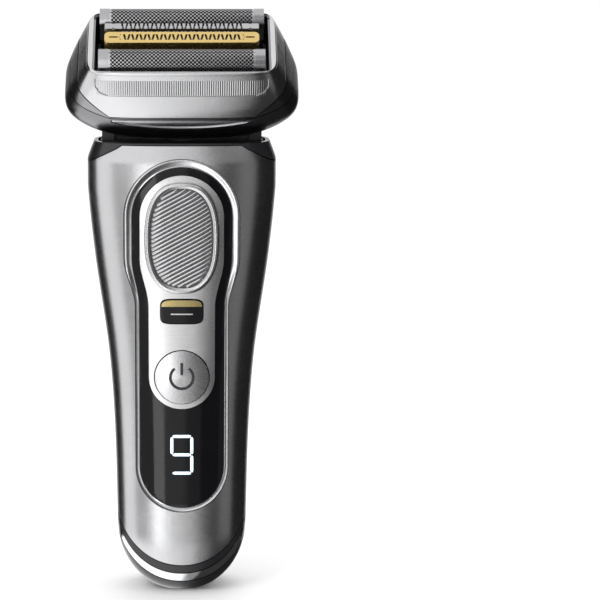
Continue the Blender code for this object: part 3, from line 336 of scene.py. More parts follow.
def finished(piece, place, body, finish, slot, *nodes, smooth=30):
    """Move a finished drawing to its place, attach it to the body it rides on and hide the parts it stands
    for.
    """
    tidy = bmesh.new()
    tidy.from_mesh(piece.data)
    bmesh.ops.remove_doubles(tidy, verts=tidy.verts, dist=0.002)
    bmesh.ops.dissolve_degenerate(tidy, edges=tidy.edges, dist=0.002)
    tidy.to_mesh(piece.data)
    tidy.free()
    piece.data.transform(place)
    piece.data.materials.clear()
    piece.data.materials.append(finish.material)
    piece.data.shade_smooth()
    piece.data.set_sharp_from_angle(angle=radians(smooth))
    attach(piece, body)
    if nodes:
        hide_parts(*nodes)
    return piece


arc_half_width = 20.5
arc_rise = 24.0
cap_edge, chrome_edge, faceplate_edge = 3.2, 6.0, 8.9


def bottom_arc(edge, count=40):
    """The bowed line in which the bottom pieces meet, from left to right."""
    places = [-arc_half_width * cos(pi * step / count) for step in range(count + 1)]
    return [(x, edge + arc_rise * (1 - sqrt(max(1 - (x / arc_half_width) ** 2, 0)))) for x in places]


def above_arc(edge):
    """Everything above the bowed line."""
    side, top = 34.0, 300.0
    sides = [(side, edge + arc_rise), (side, top), (-side, top), (-side, edge + arc_rise)]
    return prism("above_arc", bottom_arc(edge) + sides, -beyond, beyond)


def faceplate_outline(grow=0.0):
    """Arc below, straight sides, cut corners and a straight top."""
    edge = faceplate_edge - grow
    side = 30.75 + grow
    slope = (131.6 - 127.6) / (26.4 - 18.5)
    right = [
        (side, edge + arc_rise),
        (side, 127.6 - slope * (side - 26.4) + grow),
        (18.5, 131.6 + grow),
        (17.0, 132.6 + grow),
    ]
    return bottom_arc(edge) + right + [(-x, z) for x, z in reversed(right)]


trimmer_half = 13.0
trimmer_foot = 88.0
trimmer_floor = 14.0
housing = handle_form()
cut(housing, handle_form(shell_wall, -2, handle_top + 2, fine=False))
keep(housing, above_arc(chrome_edge + seam))
cut(housing, prism("faceplate_seat", faceplate_outline(seam), -beyond, split_y + seam))
bay_half = trimmer_half + seam
bay_floor = trimmer_floor - seam
bay_foot = trimmer_foot - seam
liner_wall = 1.5
liner = handle_form(shell_wall / 2, fine=False)
liner_low = (-bay_half - liner_wall, bay_floor - liner_wall, bay_foot - liner_wall)
keep(liner, block("liner", liner_low, (bay_half + liner_wall, beyond, above)))
weld(housing, liner)
cut(housing, block("bay", (-bay_half, bay_floor, bay_foot), (bay_half, beyond, above)))
rounded_edges(housing, 0.25)
housing.name = "housing_shell"

# Handle pieces are drawn in millimetres about the middle of the handle's foot.
base_face = next(mount for mount in frame["record"]["mounts"] if mount["name"] == "base_face")
to_metres = Matrix.Scale(0.001, 4)
handle_place = Matrix.Translation((0, base_face["pos_m"][1], 0)) @ to_metres
black_moulding = moulded(
    "black_moulding", (0.012, 0.012, 0.014), 0.32, Coat_Weight=0.3, Coat_Roughness=0.12
)
finished(housing, handle_place, "handle", black_moulding, "soft_black", "rear_housing")


# ------------------------------------------------------------------------------------
# Bottom cap: black moulding that closes the handle below the bright band.  Its plug
# stands inside the shell and the charging socket goes up into it.
socket_half = (3.2, 2.5)
socket_depth = 7.0
plug_top = 10.0
plug_inset = 2.7
pin_spread = 1.5


def oval(half, power, count=48, centre=(0, 0)):
    """A superellipse outline."""
    points = []
    for step in range(count):
        turn = 2 * pi * step / count
        a = half[0] * copysign(abs(cos(turn)) ** (2 / power), cos(turn))
        b = half[1] * copysign(abs(sin(turn)) ** (2 / power), sin(turn))
        points.append((centre[0] + a, centre[1] + b))
    return points


cap = handle_form(high=cap_edge + arc_rise)
cut(cap, above_arc(cap_edge))
weld(cap, handle_form(plug_inset, 0.6 * cap_edge, plug_top, fine=False))
cut(cap, handle_form(plug_inset + 2, socket_depth + 2, plug_top + 1, fine=False))
cut(cap, prism("socket", oval(socket_half, 3), -1, socket_depth, "Z"))
for side in (-1, 1):
    pin_hole = oval((0.9, 0.9), 2, 24, (side * pin_spread, 0))
    cut(cap, prism("pin_hole", pin_hole, socket_depth - 1, plug_top, "Z"))
rounded_edges(cap, 0.2)
cap.name = "cap_moulding"
finished(cap, handle_place, "handle", black_moulding, "soft_black", "bottom_cap")

# ------------------------------------------------------------------------------------
# Bright band: a bowed ring of chrome-plated plastic, hollow inside, that lies between
# the cap and the housing and is held by both.
band_wall = 2.4
band = handle_form(high=chrome_edge + arc_rise)
keep(band, above_arc(cap_edge + seam))
cut(band, above_arc(chrome_edge))
cut(band, handle_form(band_wall, -1, 50, fine=False))
rounded_edges(band, 0.25, 3)
band.name = "bright_band"


def polished(name, colour, roughness, place=None, **fixed):
    """Plated or polished metal: slight waviness and dull handling marks."""
    finish = Finish(name, colour, roughness, 1.0, place, **fixed)
    cloud = finish.noise(0.2, 3)
    finish.feed("Base Color", finish.mix(cloud, shade_of(colour, 0.9), shade_of(colour, 1.08)))
    finish.feed("Roughness", cloud * 0.06 + finish.noise(2.5, 4) * 0.05 + (roughness - 0.05))
    finish.bump(finish.noise(0.5, 2), 0.01)
    return finish


chrome = polished("bright_chrome", (0.78, 0.79, 0.8), 0.1)
finished(band, handle_place, "handle", chrome, "bright_chrome", "chrome_band")

# ------------------------------------------------------------------------------------
# Charge pins: two turned contacts, gold-plated, with rounded tips, pressed into
# the cap so that they stand in the socket.
gold_plate = polished("gold_plate", (0.8, 0.56, 0.24), 0.2)
for side, node in ((-1, "charge_pin_left"), (1, "charge_pin_right")):
    middle = (side * pin_spread, 0, 5.9)
    bpy.ops.mesh.primitive_cylinder_add(vertices=32, radius=0.6, depth=6.6, location=middle)
    pin = baked(node + "_turned")
    rounded_edges(pin, 0.28, 4)
    finished(pin, handle_place, "handle", gold_plate, "gold_coating", node)

# ------------------------------------------------------------------------------------
# Faceplate: satin-silver painted front shell with cut top corners, clipped over the
# housing; its opening takes the dished ring round the black panel.
upper_centre = 112.5
shoulder = (100.5, 86.5)
panel_foot = 38.6
power_z = 65.7
bezel_radii = (16.6, 13.4)
panel_radii = (14.3, 12.2)
plate_radii = (12.0, 9.5)


def bottle(radii, foot, grow=0.0):
    """A bottle-shaped outline: wide round top, waist, narrow round foot."""
    top, low = (radius + grow for radius in radii)
    outline = [(top * cos(pi * k / 40), upper_centre + top * sin(pi * k / 40)) for k in range(41)]
    waist = []
    for k in range(1, 24):
        t = k / 24
        ease = 3 * t**2 - 2 * t**3
        waist.append((top + (low - top) * ease, shoulder[0] + (shoulder[1] - shoulder[0]) * t))
    straight = [(low, shoulder[1] + (foot - shoulder[1]) * k / 24) for k in range(24)]
    side = [(top, shoulder[0]), *waist, *straight]
    outline += [(-x, z) for x, z in side]
    outline += [(-low * cos(pi * k / 36), foot - low * sin(pi * k / 36)) for k in range(37)]
    return outline + list(reversed(side))


def through(outline):
    """An outline run through the front half of the handle."""
    return prism("through", outline, -beyond, split_y)


def front_slab(outline, inset, thickness):
    """An outline cut from a curved slab of the handle's front."""
    slab = handle_form(inset)
    keep(slab, prism("slab_outline", outline, -beyond, split_y))
    return cut(slab, handle_form(inset + thickness, -1, handle_top + 1, fine=False))


faceplate = handle_form()
cut(faceplate, handle_form(shell_wall, -2, handle_top + 2, fine=False))
keep(faceplate, prism("plate_outline", faceplate_outline(), -beyond, split_y))
cut(faceplate, through(bottle(bezel_radii, panel_foot, 0.08)))
rounded_edges(faceplate, 0.3, 3)
faceplate.name = "painted_faceplate"


def painted_metal(name, colour, roughness, place=None, flake=14.0, **fixed):
    """Satin metallic paint: fine flake sparkle and slow changes in sheen."""
    finish = Finish(name, colour, roughness, 1.0, place, **fixed)
    cloud = finish.noise(0.08, 3)
    grains = finish.noise(flake, 2)
    sheen = cloud * 0.7 + grains * 0.3
    finish.feed("Base Color", finish.mix(sheen, shade_of(colour, 0.86), shade_of(colour, 1.12)))
    finish.feed("Roughness", cloud * 0.08 + grains * 0.1 + (roughness - 0.09))
    finish.bump(grains, 0.006)
    return finish


satin_silver = painted_metal("satin_silver", (0.6, 0.6, 0.61), 0.27)
finished(faceplate, handle_place, "handle", satin_silver, "satin_silver", "front_faceplate")

# ------------------------------------------------------------------------------------
# Panel ring: dished silver ring between faceplate and black panel, with a thin
# polished lip standing round the panel's edge.
ring_profile = (
    (0.0, 1.9), (0.0, 0.55), (0.05, 0.4), (0.14, 0.34), (0.3, 0.4), (0.5, 0.56),
    (0.7, 0.74), (0.88, 0.86), (1.0, 0.92), (1.0, 1.9),
)


def contour_ring(name, outer, inner, profile):
    """A ring between two outlines following the handle's front at the profile's depths."""
    rings = []
    for share, inset in profile:
        ring = [Vector(a).lerp(Vector(b), share) for a, b in zip(outer, inner)]
        rings.append([(x, front_y(x, z, inset), z) for x, z in ring])
    return skin(name, rings, closed=False)


outer_edge = bottle(bezel_radii, panel_foot)
inner_edge = bottle(panel_radii, panel_foot, seam)
bezel = contour_ring("dished_ring", outer_edge, inner_edge, ring_profile)
brushed_silver = polished("brushed_silver", (0.62, 0.62, 0.63), 0.24)
finished(bezel, handle_place, "handle", brushed_silver, "brushed_silver", "panel_bezel")

lip_profile = ((0.0, 1.7), (0.0, 0.7), (0.25, 0.58), (0.75, 0.58), (1.0, 0.7), (1.0, 1.7))
lip_outer = bottle(panel_radii, panel_foot, seam - 0.02)
lip_inner = bottle(panel_radii, panel_foot, 0.02)
lip = contour_ring("panel_lip", lip_outer, lip_inner, lip_profile)
finished(lip, handle_place, "handle", chrome, "bright_chrome")

# ------------------------------------------------------------------------------------
# Display panel: gloss-black window moulding, polished, that follows the curve of the
# handle.  It has a slot for the lock's stem and a round seat for the power button.
panel_inset, panel_thick = 0.7, 1.5
plate_thick = 0.5
lock_z = 106.6
lock_travel = 2.0
stem_slot = (3.3, 4.0 + lock_travel + seam)
button_radius = 7.8
button_thick = 0.6
button_travel = 0.5
button_y = -handle_size(power_z)[1] + panel_inset - seam - plate_thick - 0.45
slot_outline = [
    (-stem_slot[0], lock_z - stem_slot[1]), (stem_slot[0], lock_z - stem_slot[1]),
    (stem_slot[0], lock_z + stem_slot[1]), (-stem_slot[0], lock_z + stem_slot[1]),
]
seat_outline = oval((button_radius + seam,) * 2, 2, 96, (0, power_z))
seat_floor = button_y + button_thick + button_travel + seam

panel = front_slab(bottle(panel_radii, panel_foot), panel_inset, panel_thick)
cut(panel, through(slot_outline), through(oval((1.9, 1.9), 2, 32, (0, power_z))))
cut(panel, prism("button_seat", seat_outline, -beyond, seat_floor))
rounded_edges(panel, 0.15, 3)
panel.name = "window_panel"
gloss_black = moulded(
    "gloss_black", (0.004, 0.004, 0.005), 0.08, grain=1.2, relief=0.003, Specular_IOR_Level=0.36
)
finished(panel, handle_place, "handle", gloss_black, "gloss_black", "display_panel")

# ------------------------------------------------------------------------------------
# Control plate: thin brushed-metal plate bonded on the panel, brushed across, with a
# slot for the lock's stem and holes for badge and button.
badge_z = 85.2
badge_half = (6.0, 3.5)
plate = front_slab(bottle(plate_radii, power_z), panel_inset - seam - plate_thick, plate_thick)
cut(plate, through(slot_outline), through(seat_outline))
cut(plate, through(oval([half + seam for half in badge_half], 5, 96, (0, badge_z))))
rounded_edges(plate, 0.12, 2)
plate.name = "brushed_plate"


def brushed(name, colour, roughness, along, place=None, **fixed):
    """Metal brushed along one axis: long fine scratches in colour, gloss and relief."""
    finish = Finish(name, colour, roughness, 1.0, place, **fixed)
    lines = [9.0, 9.0, 9.0]
    lines[along] = 0.25
    scratch = finish.noise(1.0, 4, tuple(lines))
    cloud = finish.noise(0.1, 3)
    finish.feed("Base Color", finish.mix(scratch, shade_of(colour, 0.8), shade_of(colour, 1.18)))
    finish.feed("Roughness", scratch * 0.14 + cloud * 0.06 + (roughness - 0.1))
    finish.bump(scratch, 0.008)
    return finish


plate_metal = brushed("plate_metal", (0.76, 0.76, 0.76), 0.3, 0)
finished(plate, handle_place, "handle", plate_metal, "brushed_silver", "control_plate")

# ------------------------------------------------------------------------------------
# Badge: small gloss-black tile let into the plate, with a gold strip along its top
# and a short light line below.
badge_inset = panel_inset - seam - plate_thick - 0.2
badge = front_slab(oval(badge_half, 5, 96, (0, badge_z)), badge_inset, plate_thick)
rounded_edges(badge, 0.12, 2)
badge.name = "badge_tile"
finished(badge, handle_place, "handle", gloss_black, "gloss_black", "badge_plate")


def rectangle(low, high):
    """A rectangle's four corners."""
    return [(low[0], low[1]), (high[0], low[1]), (high[0], high[1]), (low[0], high[1])]


strip_outline = oval([half - 0.15 for half in badge_half], 5, 96, (0, badge_z))
strip = front_slab(strip_outline, badge_inset - 0.04, 0.1)
keep(strip, through(rectangle((-8, badge_z + 1.45), (8, badge_z + 5))))
strip.name = "badge_gold_strip"
badge_gold = polished("badge_gold", (0.55, 0.44, 0.2), 0.25)
finished(strip, handle_place, "handle", badge_gold, "gold_coating")
line = front_slab(rectangle((-3.2, badge_z - 0.95), (3.2, badge_z - 0.6)), badge_inset - 0.03, 0.08)
line.name = "badge_line"
finished(line, handle_place, "handle", plate_metal, "brushed_silver")

# ------------------------------------------------------------------------------------
# Travel lock: oval slide of plated plastic, a polished rim round a field of slanting
# ribs for the thumb.  Its stem reaches through the slot to the slider inside.
lock_half = (10.7, 16.0)
lock_field = (8.9, 14.2)
lock_inset = panel_inset - seam - plate_thick - 0.5 - 1.1
rib_slope = radians(28)
rib_pitch = 1.07
rib_width, rib_height = 0.8, 0.44
rim_profile = (
    (0.0, 1.05), (0.0, 0.62), (0.08, 0.36), (0.22, 0.12), (0.42, 0.0), (0.6, 0.04),
    (0.78, 0.2), (0.92, 0.42), (1.0, 0.66), (1.0, 1.05),
)
rim_outer = oval(lock_half, 2.5, 144, (0, lock_z))
rim_inner = oval(lock_field, 2.5, 144, (0, lock_z))
lock_profile = [(share, lock_inset + drop) for share, drop in rim_profile]
rim = contour_ring("lock_rim", rim_outer, rim_inner, lock_profile)
lock_metal = polished("lock_metal", (0.66, 0.66, 0.67), 0.27)
finished(rim, handle_place, "lock", lock_metal, "brushed_silver", "lock_switch")
bed_outline = oval([half - 0.03 for half in lock_field], 2.5, 96, (0, lock_z))
bed = front_slab(bed_outline, lock_inset + 0.52, 0.5)
lock_front = -handle_size(lock_z)[1]
stem_low = (-3.0, lock_front + lock_inset + 0.8, lock_z - 4)
stem_high = (3.0, lock_front + panel_inset + panel_thick + 0.5, lock_z + 4)
weld(bed, block("stem", stem_low, stem_high))
bed.name = "lock_bed"
# The bed between the ribs is coloured near-black: painted shade in the grooves between them.
groove_shade = moulded("groove_shade", (0.07, 0.07, 0.073), 0.4)
finished(bed, handle_place, "lock", groove_shade, "brushed_silver")


def joined_shells(name, shells):
    """One object made of several separate skins, each a list of rings."""
    pieces = [skin(name, rings) for rings in shells]
    bpy.ops.object.select_all(action="DESELECT")
    for piece in pieces:
        piece.select_set(True)
    bpy.context.view_layer.objects.active = pieces[0]
    bpy.ops.object.join()
    pieces[0].select_set(False)
    return pieces[0]


ribs = []
for number in range(-14, 15):
    offset = number * rib_pitch
    inside = []
    for step in range(-200, 201):
        along = step * 0.1
        x = along * cos(rib_slope) - offset * sin(rib_slope)
        z = along * sin(rib_slope) + offset * cos(rib_slope)
        if (abs(x) / (lock_field[0] - 0.25)) ** 2.5 + (abs(z) / (lock_field[1] - 0.25)) ** 2.5 < 1:
            inside.append(along)
    if not inside or inside[-1] - inside[0] < 1.2:
        continue
    rings = []
    for step in range(25):
        along = inside[0] + (inside[-1] - inside[0]) * step / 24
        swell = min(1, 6 * step / 24, 6 * (24 - step) / 24) ** 0.5 if 0 < step < 24 else 0.15
        ring = []
        for across, up in ((-0.5, 0), (-0.42, 0.55), (-0.2, 0.95), (0.2, 0.95), (0.42, 0.55), (0.5, 0)):
            place = offset + across * rib_width
            x = along * cos(rib_slope) - place * sin(rib_slope)
            z = lock_z + along * sin(rib_slope) + place * cos(rib_slope)
            ring.append((x, front_y(x, z, lock_inset + 0.55 - up * rib_height * swell), z))
        rings.append(ring)
    ribs.append(rings)
rib_field = joined_shells("lock_ribs", ribs)
finished(rib_field, handle_place, "lock", lock_metal, "brushed_silver", smooth=60)

# ------------------------------------------------------------------------------------
# Power button: turned metal disc with fine radial brushing and a printed on-off sign,
# on a stem that reaches through the panel to the switch.
bpy.ops.mesh.primitive_cylinder_add(
    vertices=128, radius=button_radius, depth=button_thick,
    location=(0, button_y + button_thick / 2, power_z), rotation=(pi / 2, 0, 0),
)
button = baked("button_disc")
stem_end = -7.0 - seam - 2.6 - seam - button_travel
stem_outline = oval((1.6, 1.6), 2, 32, (0, power_z))
weld(button, prism("button_stem", stem_outline, button_y + 0.3, stem_end))
rounded_edges(button, 0.14, 3)

radial = Finish("radial_brushed_painted_lobes", (0.62, 0.62, 0.62), 0.26, 1.0)
turn = radial.node(
    "ShaderNodeMath", {"operation": "ARCTAN2"}, [radial.axis(2) - power_z, radial.axis(0)]
)
ray_spot = radial.node("ShaderNodeCombineXYZ", {}, [turn * 26, turn.math("SINE") * 3, 0.0])
rays = radial.node("ShaderNodeTexNoise", {}, {"Vector": ray_spot, "Scale": 1.0, "Detail": 4})
# Two broad light and dark lobes round the disc, put into its colour: a painted highlight of the radial
# brushing.
painted_highlight_lobes = (turn * 2 + 0.9).math("COSINE") * 0.5 + 0.5
radial.feed("Base Color", radial.mix(painted_highlight_lobes * 0.6 + rays * 0.4, (0.46, 0.46, 0.47), (0.76, 0.76, 0.77)))
radial.feed("Roughness", rays * 0.14 + 0.2)
radial.bump(rays, 0.008)
finished(button, handle_place, "power", radial, "brushed_silver", "power_button")

sign_radius, sign_width = 3.3, 0.82
arc_outline = []
for radius, order in ((sign_radius + sign_width / 2, 1), (sign_radius - sign_width / 2, -1)):
    turns = [radians(128 + 284 * k / 48) for k in range(49)][::order]
    arc_outline += [(radius * cos(a), power_z + radius * sin(a)) for a in turns]
sign_arc = prism("sign_arc", arc_outline, button_y - 0.05, button_y + 0.05)
bar_foot, bar_top = power_z + 0.7, power_z + 4.3
bar_outline = rectangle((-sign_width / 2, bar_foot), (sign_width / 2, bar_top))
sign_bar = prism("sign_bar", bar_outline, button_y - 0.05, button_y + 0.05)
printed_black = moulded("printed_black", (0.02, 0.02, 0.022), 0.4)
finished(sign_arc, handle_place, "power", printed_black, "soft_black")
finished(sign_bar, handle_place, "power", printed_black, "soft_black")

# ------------------------------------------------------------------------------------
# Read-out: one glowing figure of bar-shaped segments with pointed ends, lit from the
# module behind the panel and shining through it.
digit_z = 42.3
digit_half = (2.9, 5.5)
bar_half = 0.43
corners = {
    "top": ((-1, 1), (1, 1)), "upper_left": ((-1, 0), (-1, 1)), "upper_right": ((1, 0), (1, 1)),
    "middle": ((-1, 0), (1, 0)), "lower_right": ((1, -1), (1, 0)), "bottom": ((-1, -1), (1, -1)),
}
glow = Finish("segment_glow", (0.7, 0.8, 0.9), 0.4, Emission_Strength=0.85)
cells = glow.noise(1.5, 2)
glow.feed("Base Color", glow.mix(cells, (0.6, 0.7, 0.8), (0.8, 0.88, 0.95)))
glow.feed("Emission Color", glow.mix(cells, (0.45, 0.68, 0.9), (0.66, 0.86, 1.0)))
glow.bump(cells, 0.004)
segments = []
for start, end in corners.values():
    a = Vector((start[0] * digit_half[0], start[1] * digit_half[1]))
    b = Vector((end[0] * digit_half[0], end[1] * digit_half[1]))
    along = (b - a).normalized()
    across = Vector((-along.y, along.x)) * bar_half
    a, b = a + along * 0.25, b - along * 0.25
    tip = along * 0.55
    blunt = across * 0.55
    outline = [a - blunt, a + tip - across, b - tip - across, b - blunt]
    outline += [b + blunt, b - tip + across, a + tip + across, a + blunt]
    flat = [(p.x, digit_z + p.y) for p in outline]
    faces = (panel_inset - 0.03, panel_inset + 0.1)
    segments.append([[(x, front_y(x, z, inset), z) for x, z in flat] for inset in faces])
digit = joined_shells("readout_digit", segments)
finished(digit, handle_place, "handle", glow, "white_plastic")


# ------------------------------------------------------------------------------------
# Inside the handle: chassis, screws, board, switch, read-out, cell and its tabs, and
# the slider behind the lock.  Plain moulded, rolled or wrapped stock parts.
def dressed(finish, slot, *nodes):
    """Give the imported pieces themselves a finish."""
    for node in nodes:
        piece = frame["nodes"][node]
        piece.data.materials.clear()
        piece.data.materials.append(finish.material)


inner_plastic = moulded("inner_plastic", (0.16, 0.16, 0.18), 0.55)
white_plastic = moulded("white_plastic", (0.7, 0.7, 0.67), 0.5)
black_plastic = moulded("black_plastic", (0.014, 0.014, 0.016), 0.42)
blade_steel = brushed("blade_steel", (0.46, 0.47, 0.48), 0.34, 0)
dressed(inner_plastic, "inner_plastic", "inner_chassis")
dressed(white_plastic, "white_plastic", "lock_slider", "display_module")
dressed(black_plastic, "soft_black", "power_switch")
dressed(blade_steel, "blade_steel", *[f"chassis_screw_{number}" for number in (1, 2, 3, 4)])
dressed(blade_steel, "blade_steel", "battery_tab_lower", "battery_tab_upper")

board_green = Finish("board_green", (0.03, 0.16, 0.08), 0.45)
tracks = board_green.noise(0.9, 1, (1.0, 1.0, 0.2)) > 0.54
board_green.feed("Base Color", board_green.mix(tracks, (0.02, 0.12, 0.06), (0.06, 0.26, 0.13)))
board_green.feed("Roughness", board_green.noise(3, 3) * 0.2 + 0.34)
board_green.bump(tracks, 0.02)
dressed(board_green, "board_green", "circuit_board")

cell_wrap = Finish("cell_wrap", (0.08, 0.24, 0.46), 0.36)
label = (cell_wrap.axis(2) - 52).math("ABSOLUTE") < 9
cell_wrap.feed("Base Color", cell_wrap.mix(label, (0.07, 0.2, 0.42), (0.12, 0.32, 0.56)))
cell_wrap.feed("Roughness", cell_wrap.noise(1.5, 3) * 0.16 + 0.28)
cell_wrap.bump(cell_wrap.noise(0.8, 3), 0.03)
dressed(cell_wrap, "cell_wrap", "battery_cell")

# ------------------------------------------------------------------------------------
# Back trimmer: pop-up carriage in its bay, moulded in dark grey with five grip grooves,
# carrying a toothed steel comb and the blade that swings behind it.
slab_half, trimmer_top, trimmer_proud = trimmer_half, 128.0, 0.79
comb_y, comb_thick, comb_half, comb_low = 16.9, 0.7, 11.6, 118.0
carriage = handle_form(-trimmer_proud)
keep(carriage, block("slab", (-slab_half, trimmer_floor, trimmer_foot), (slab_half, beyond, trimmer_top)))
slot_corner = (-comb_half - seam, comb_y - seam - 0.7 - seam, comb_low - seam)
cut(carriage, block("blade_slot", slot_corner, (comb_half + seam, comb_y + comb_thick + seam, 180)))
grip_foot, grip_pitch, grip_half, grip_width, grip_deep = 93, 2.6, 7, 1.2, 0.7
for number in range(5):
    z = grip_foot + grip_pitch * number
    depth = handle_size(z)[2] + trimmer_proud - grip_deep
    cut(carriage, block("groove", (-grip_half, depth, z), (grip_half, beyond, z + grip_width)))
rounded_edges(carriage, 0.3, 3)
carriage.name = "trimmer_slide"
dark_grey = painted_metal("dark_grey", (0.1, 0.1, 0.105), 0.34)
finished(carriage, handle_place, "back_trimmer", dark_grey, "dark_grey", "trimmer_carriage")
dressed(blade_steel, "blade_steel", "trimmer_comb", "trimmer_blade")

# ------------------------------------------------------------------------------------
# Neck: black collar in the mouth of the housing with a low hump at the back and two
# arms whose eyes hold the steel pins the head tilts on.
joint_of = {joint["name"]: joint for joint in frame["record"]["behaviour"]["joints"]}
tilt_axis = Vector(joint_of["head_tilt"]["pos_m"])
tilt_z = tilt_axis.z * 1000
arm_x = (19.5, 23.0)
arm_half = 3.2
pin_radius = 1.35
collar_floor = 129.6
hump_top, hump_bevel = 136.2, 1.6
collar = handle_form(shell_wall + seam, collar_floor)
bay_back = bay_floor - 1.5 - seam
cut(collar, block("bay_clearance", (-beyond, bay_back, 0), (beyond, beyond, 200)))
hump_foot = (collar_floor + handle_top) / 2
hump_outline = [
    (0, hump_foot), (0, hump_top - hump_bevel), (hump_bevel, hump_top),
    (bay_back - 2 * hump_bevel, hump_top), (bay_back - seam, handle_top), (bay_back - seam, hump_foot),
]
hump = prism("hump", hump_outline, -arm_x[1], arm_x[1], "X")
mouth = [(x, y) for x, y, _ in handle_ring(handle_top, shell_wall + seam, 96)]
weld(collar, keep(hump, prism("mouth", mouth, collar_floor, 200, "Z")))
cut(collar, prism("wire_hole", oval((3.5, 3.5), 2, 32, (0, 3.5)), 0, 200, "Z"))
for side in (-1, 1):
    arm_top = [(arm_half * cos(pi * k / 32), tilt_z + arm_half * sin(pi * k / 32)) for k in range(33)]
    arm_outline = [(arm_half, hump_foot), *arm_top, (-arm_half, hump_foot)]
    near, far = sorted(side * x for x in arm_x)
    arm = prism("arm", arm_outline, near, far, "X")
    eye = oval((pin_radius + seam,) * 2, 2, 40, (0, tilt_z))
    weld(collar, cut(arm, prism("eye", eye, near - 1, far + 1, "X")))
rounded_edges(collar, 0.3, 2)
collar.name = "neck_moulding"
finished(collar, handle_place, "handle", black_plastic, "soft_black", "neck_collar")
dressed(blade_steel, "blade_steel", "pivot_pin_left", "pivot_pin_right")

# ------------------------------------------------------------------------------------
# Head base: dark metallic-painted cup that turns on the neck arms, with slots for the
# arms, pockets for the release buttons and a seat for the front trim.
head_floor, head_rim = -8.0, 20.0
head_beyond = 45.0
head_stations = (
    (head_floor, 22.0, 9.0, 3.0),
    (-5.0, 27.5, 12.5, 3.2),
    (0.0, 32.4, 15.0, 3.6),
    (4.0, 33.49, 15.8, 4.2),
    (8.0, 32.3, 16.0, 4.6),
    (head_rim, 26.5, 13.9, 8.0),
)
head_wall = 1.8
split_front, split_side, split_flat = 4.6, 9.2, 20.5
deck_low, deck_high = 5.2, 6.4
tilt_low, tilt_high = joint_of["head_tilt"]["range_deg"]
tilt_sweep = radians(tilt_high - tilt_low)
pin_reach = 25.4
motor_bay = 17.3
release_pocket = 26.4
release_half = 5.0
release_low, release_high = -2.0, 4.0
trim_half, trim_low, trim_high, trim_thick = 19.8, 0.1, 3.9, 0.8


def head_form(inset=0.0, low=head_floor, high=head_rim, fine=True):
    """The head's form, its sides brought in by inset."""
    steps = max(2, round((high - low) / (0.8 if fine else 2.0)))
    rings = []
    for step in range(steps + 1):
        w = low + (high - low) * step / steps
        half_width, half_depth, power = between(head_stations, w)
        ring = oval((half_width - inset, half_depth - inset), power, 144 if fine else 72)
        rings.append([(u, v, w) for u, v in ring])
    return skin("head_form", rings)


def split_region(offset, end_w):
    """Region on one side of the line where base and cassette frame meet."""
    slope = (split_side - split_front) / (33.5 - split_flat)
    side = split_front + offset + slope * (head_beyond - split_flat)
    line = [(-head_beyond, side), (-split_flat, split_front + offset)]
    return [*line, *[(-u, w) for u, w in reversed(line)], (head_beyond, end_w), (-head_beyond, end_w)]


def trim_outline(grow=0.0):
    """Lens: straight above, bowed below."""
    half = trim_half + grow
    rise = 0.85 * (trim_high - trim_low)
    lower = [(half * k / 24, trim_low - grow + rise * (k / 24) ** 2) for k in range(-24, 25)]
    return [*lower, (half, trim_high + grow), (-half, trim_high + grow)]


# Head pieces are drawn in millimetres about the tilt axis, with w out of the foils.
foil_side = Vector(joint_of["cassette_lift"]["axis"])
rest_tilt = atan2(-foil_side.y, foil_side.z)
head_place = Matrix.Translation(tilt_axis) @ Matrix.Rotation(rest_tilt, 4, "X") @ to_metres
base = head_form(high=split_side + 2)
keep(base, prism("below_split", split_region(0, -head_beyond), -head_beyond, head_beyond))
bay = head_form(head_wall, -5.9, deck_low, fine=False)
bay_low, bay_high = (-motor_bay, -head_beyond, -head_beyond), (motor_bay, head_beyond, head_beyond)
cut(base, keep(bay, block("bay_width", bay_low, bay_high)))
cut(base, head_form(head_wall, deck_low - seam, head_rim, fine=False))
arm_low = head_floor * tan(rest_tilt) - arm_half / cos(rest_tilt) - 2 * seam
arm_high = -head_floor * tan(tilt_sweep - rest_tilt) + arm_half + 2 * seam
for side in (-1, 1):
    near, far = sorted((side * (arm_x[0] - seam), side * (arm_x[1] + seam)))
    cut(base, block("arm_slot", (near, arm_low, -head_beyond), (far, arm_high, arm_half + 1.3 * seam)))
    near, far = sorted((side * (motor_bay - 1), side * (pin_reach + seam)))
    cut(base, prism("pin_hole", oval((pin_radius + seam,) * 2, 2, 40), near, far, "X"))
    near, far = sorted((side * release_pocket, side * head_beyond))
    deep = release_half + seam
    pocket_low, pocket_high = (near, -deep, release_low - seam), (far, deep, release_high + seam)
    cut(base, block("release_pocket", pocket_low, pocket_high))
pocket = prism("trim_pocket", trim_outline(seam), -head_beyond, 0)
cut(base, cut(pocket, head_form(trim_thick + seam, high=split_side + 4)))
rounded_edges(base, 0.2)
base.name = "base_cup"
base_grey = painted_metal("base_grey", (0.24, 0.24, 0.25), 0.26, head_place)
finished(base, head_place, "head", base_grey, "dark_grey", "head_base")

# ------------------------------------------------------------------------------------
# Front trim: lens-shaped inlay of brushed metal with a bright raised edge and a
# darker sunken field, pressed into the front of the base.
trim_body = head_form(0.12, high=split_side)
keep(trim_body, prism("lens", trim_outline(), -head_beyond, 0))
cut(trim_body, head_form(trim_thick, high=split_side + 2))
inner_lens = [(u * 0.955, 2.4 + (w - 2.4) * 0.68) for u, w in trim_outline()]
recess = prism("recess", inner_lens, -head_beyond, 0)
cut(trim_body, cut(recess, head_form(0.45, high=split_side + 2)))
rounded_edges(trim_body, 0.12, 2)
trim_body.name = "front_trim"
trim_metal = brushed("trim_metal", (0.7, 0.7, 0.72), 0.24, 0, head_place)
dark_inlay = brushed("dark_inlay", (0.36, 0.36, 0.37), 0.28, 0, head_place)
finished(trim_body, head_place, "head", trim_metal, "brushed_silver", "head_front_trim")
trim_body.data.materials.append(dark_inlay.material)
back_home = head_place.inverted()
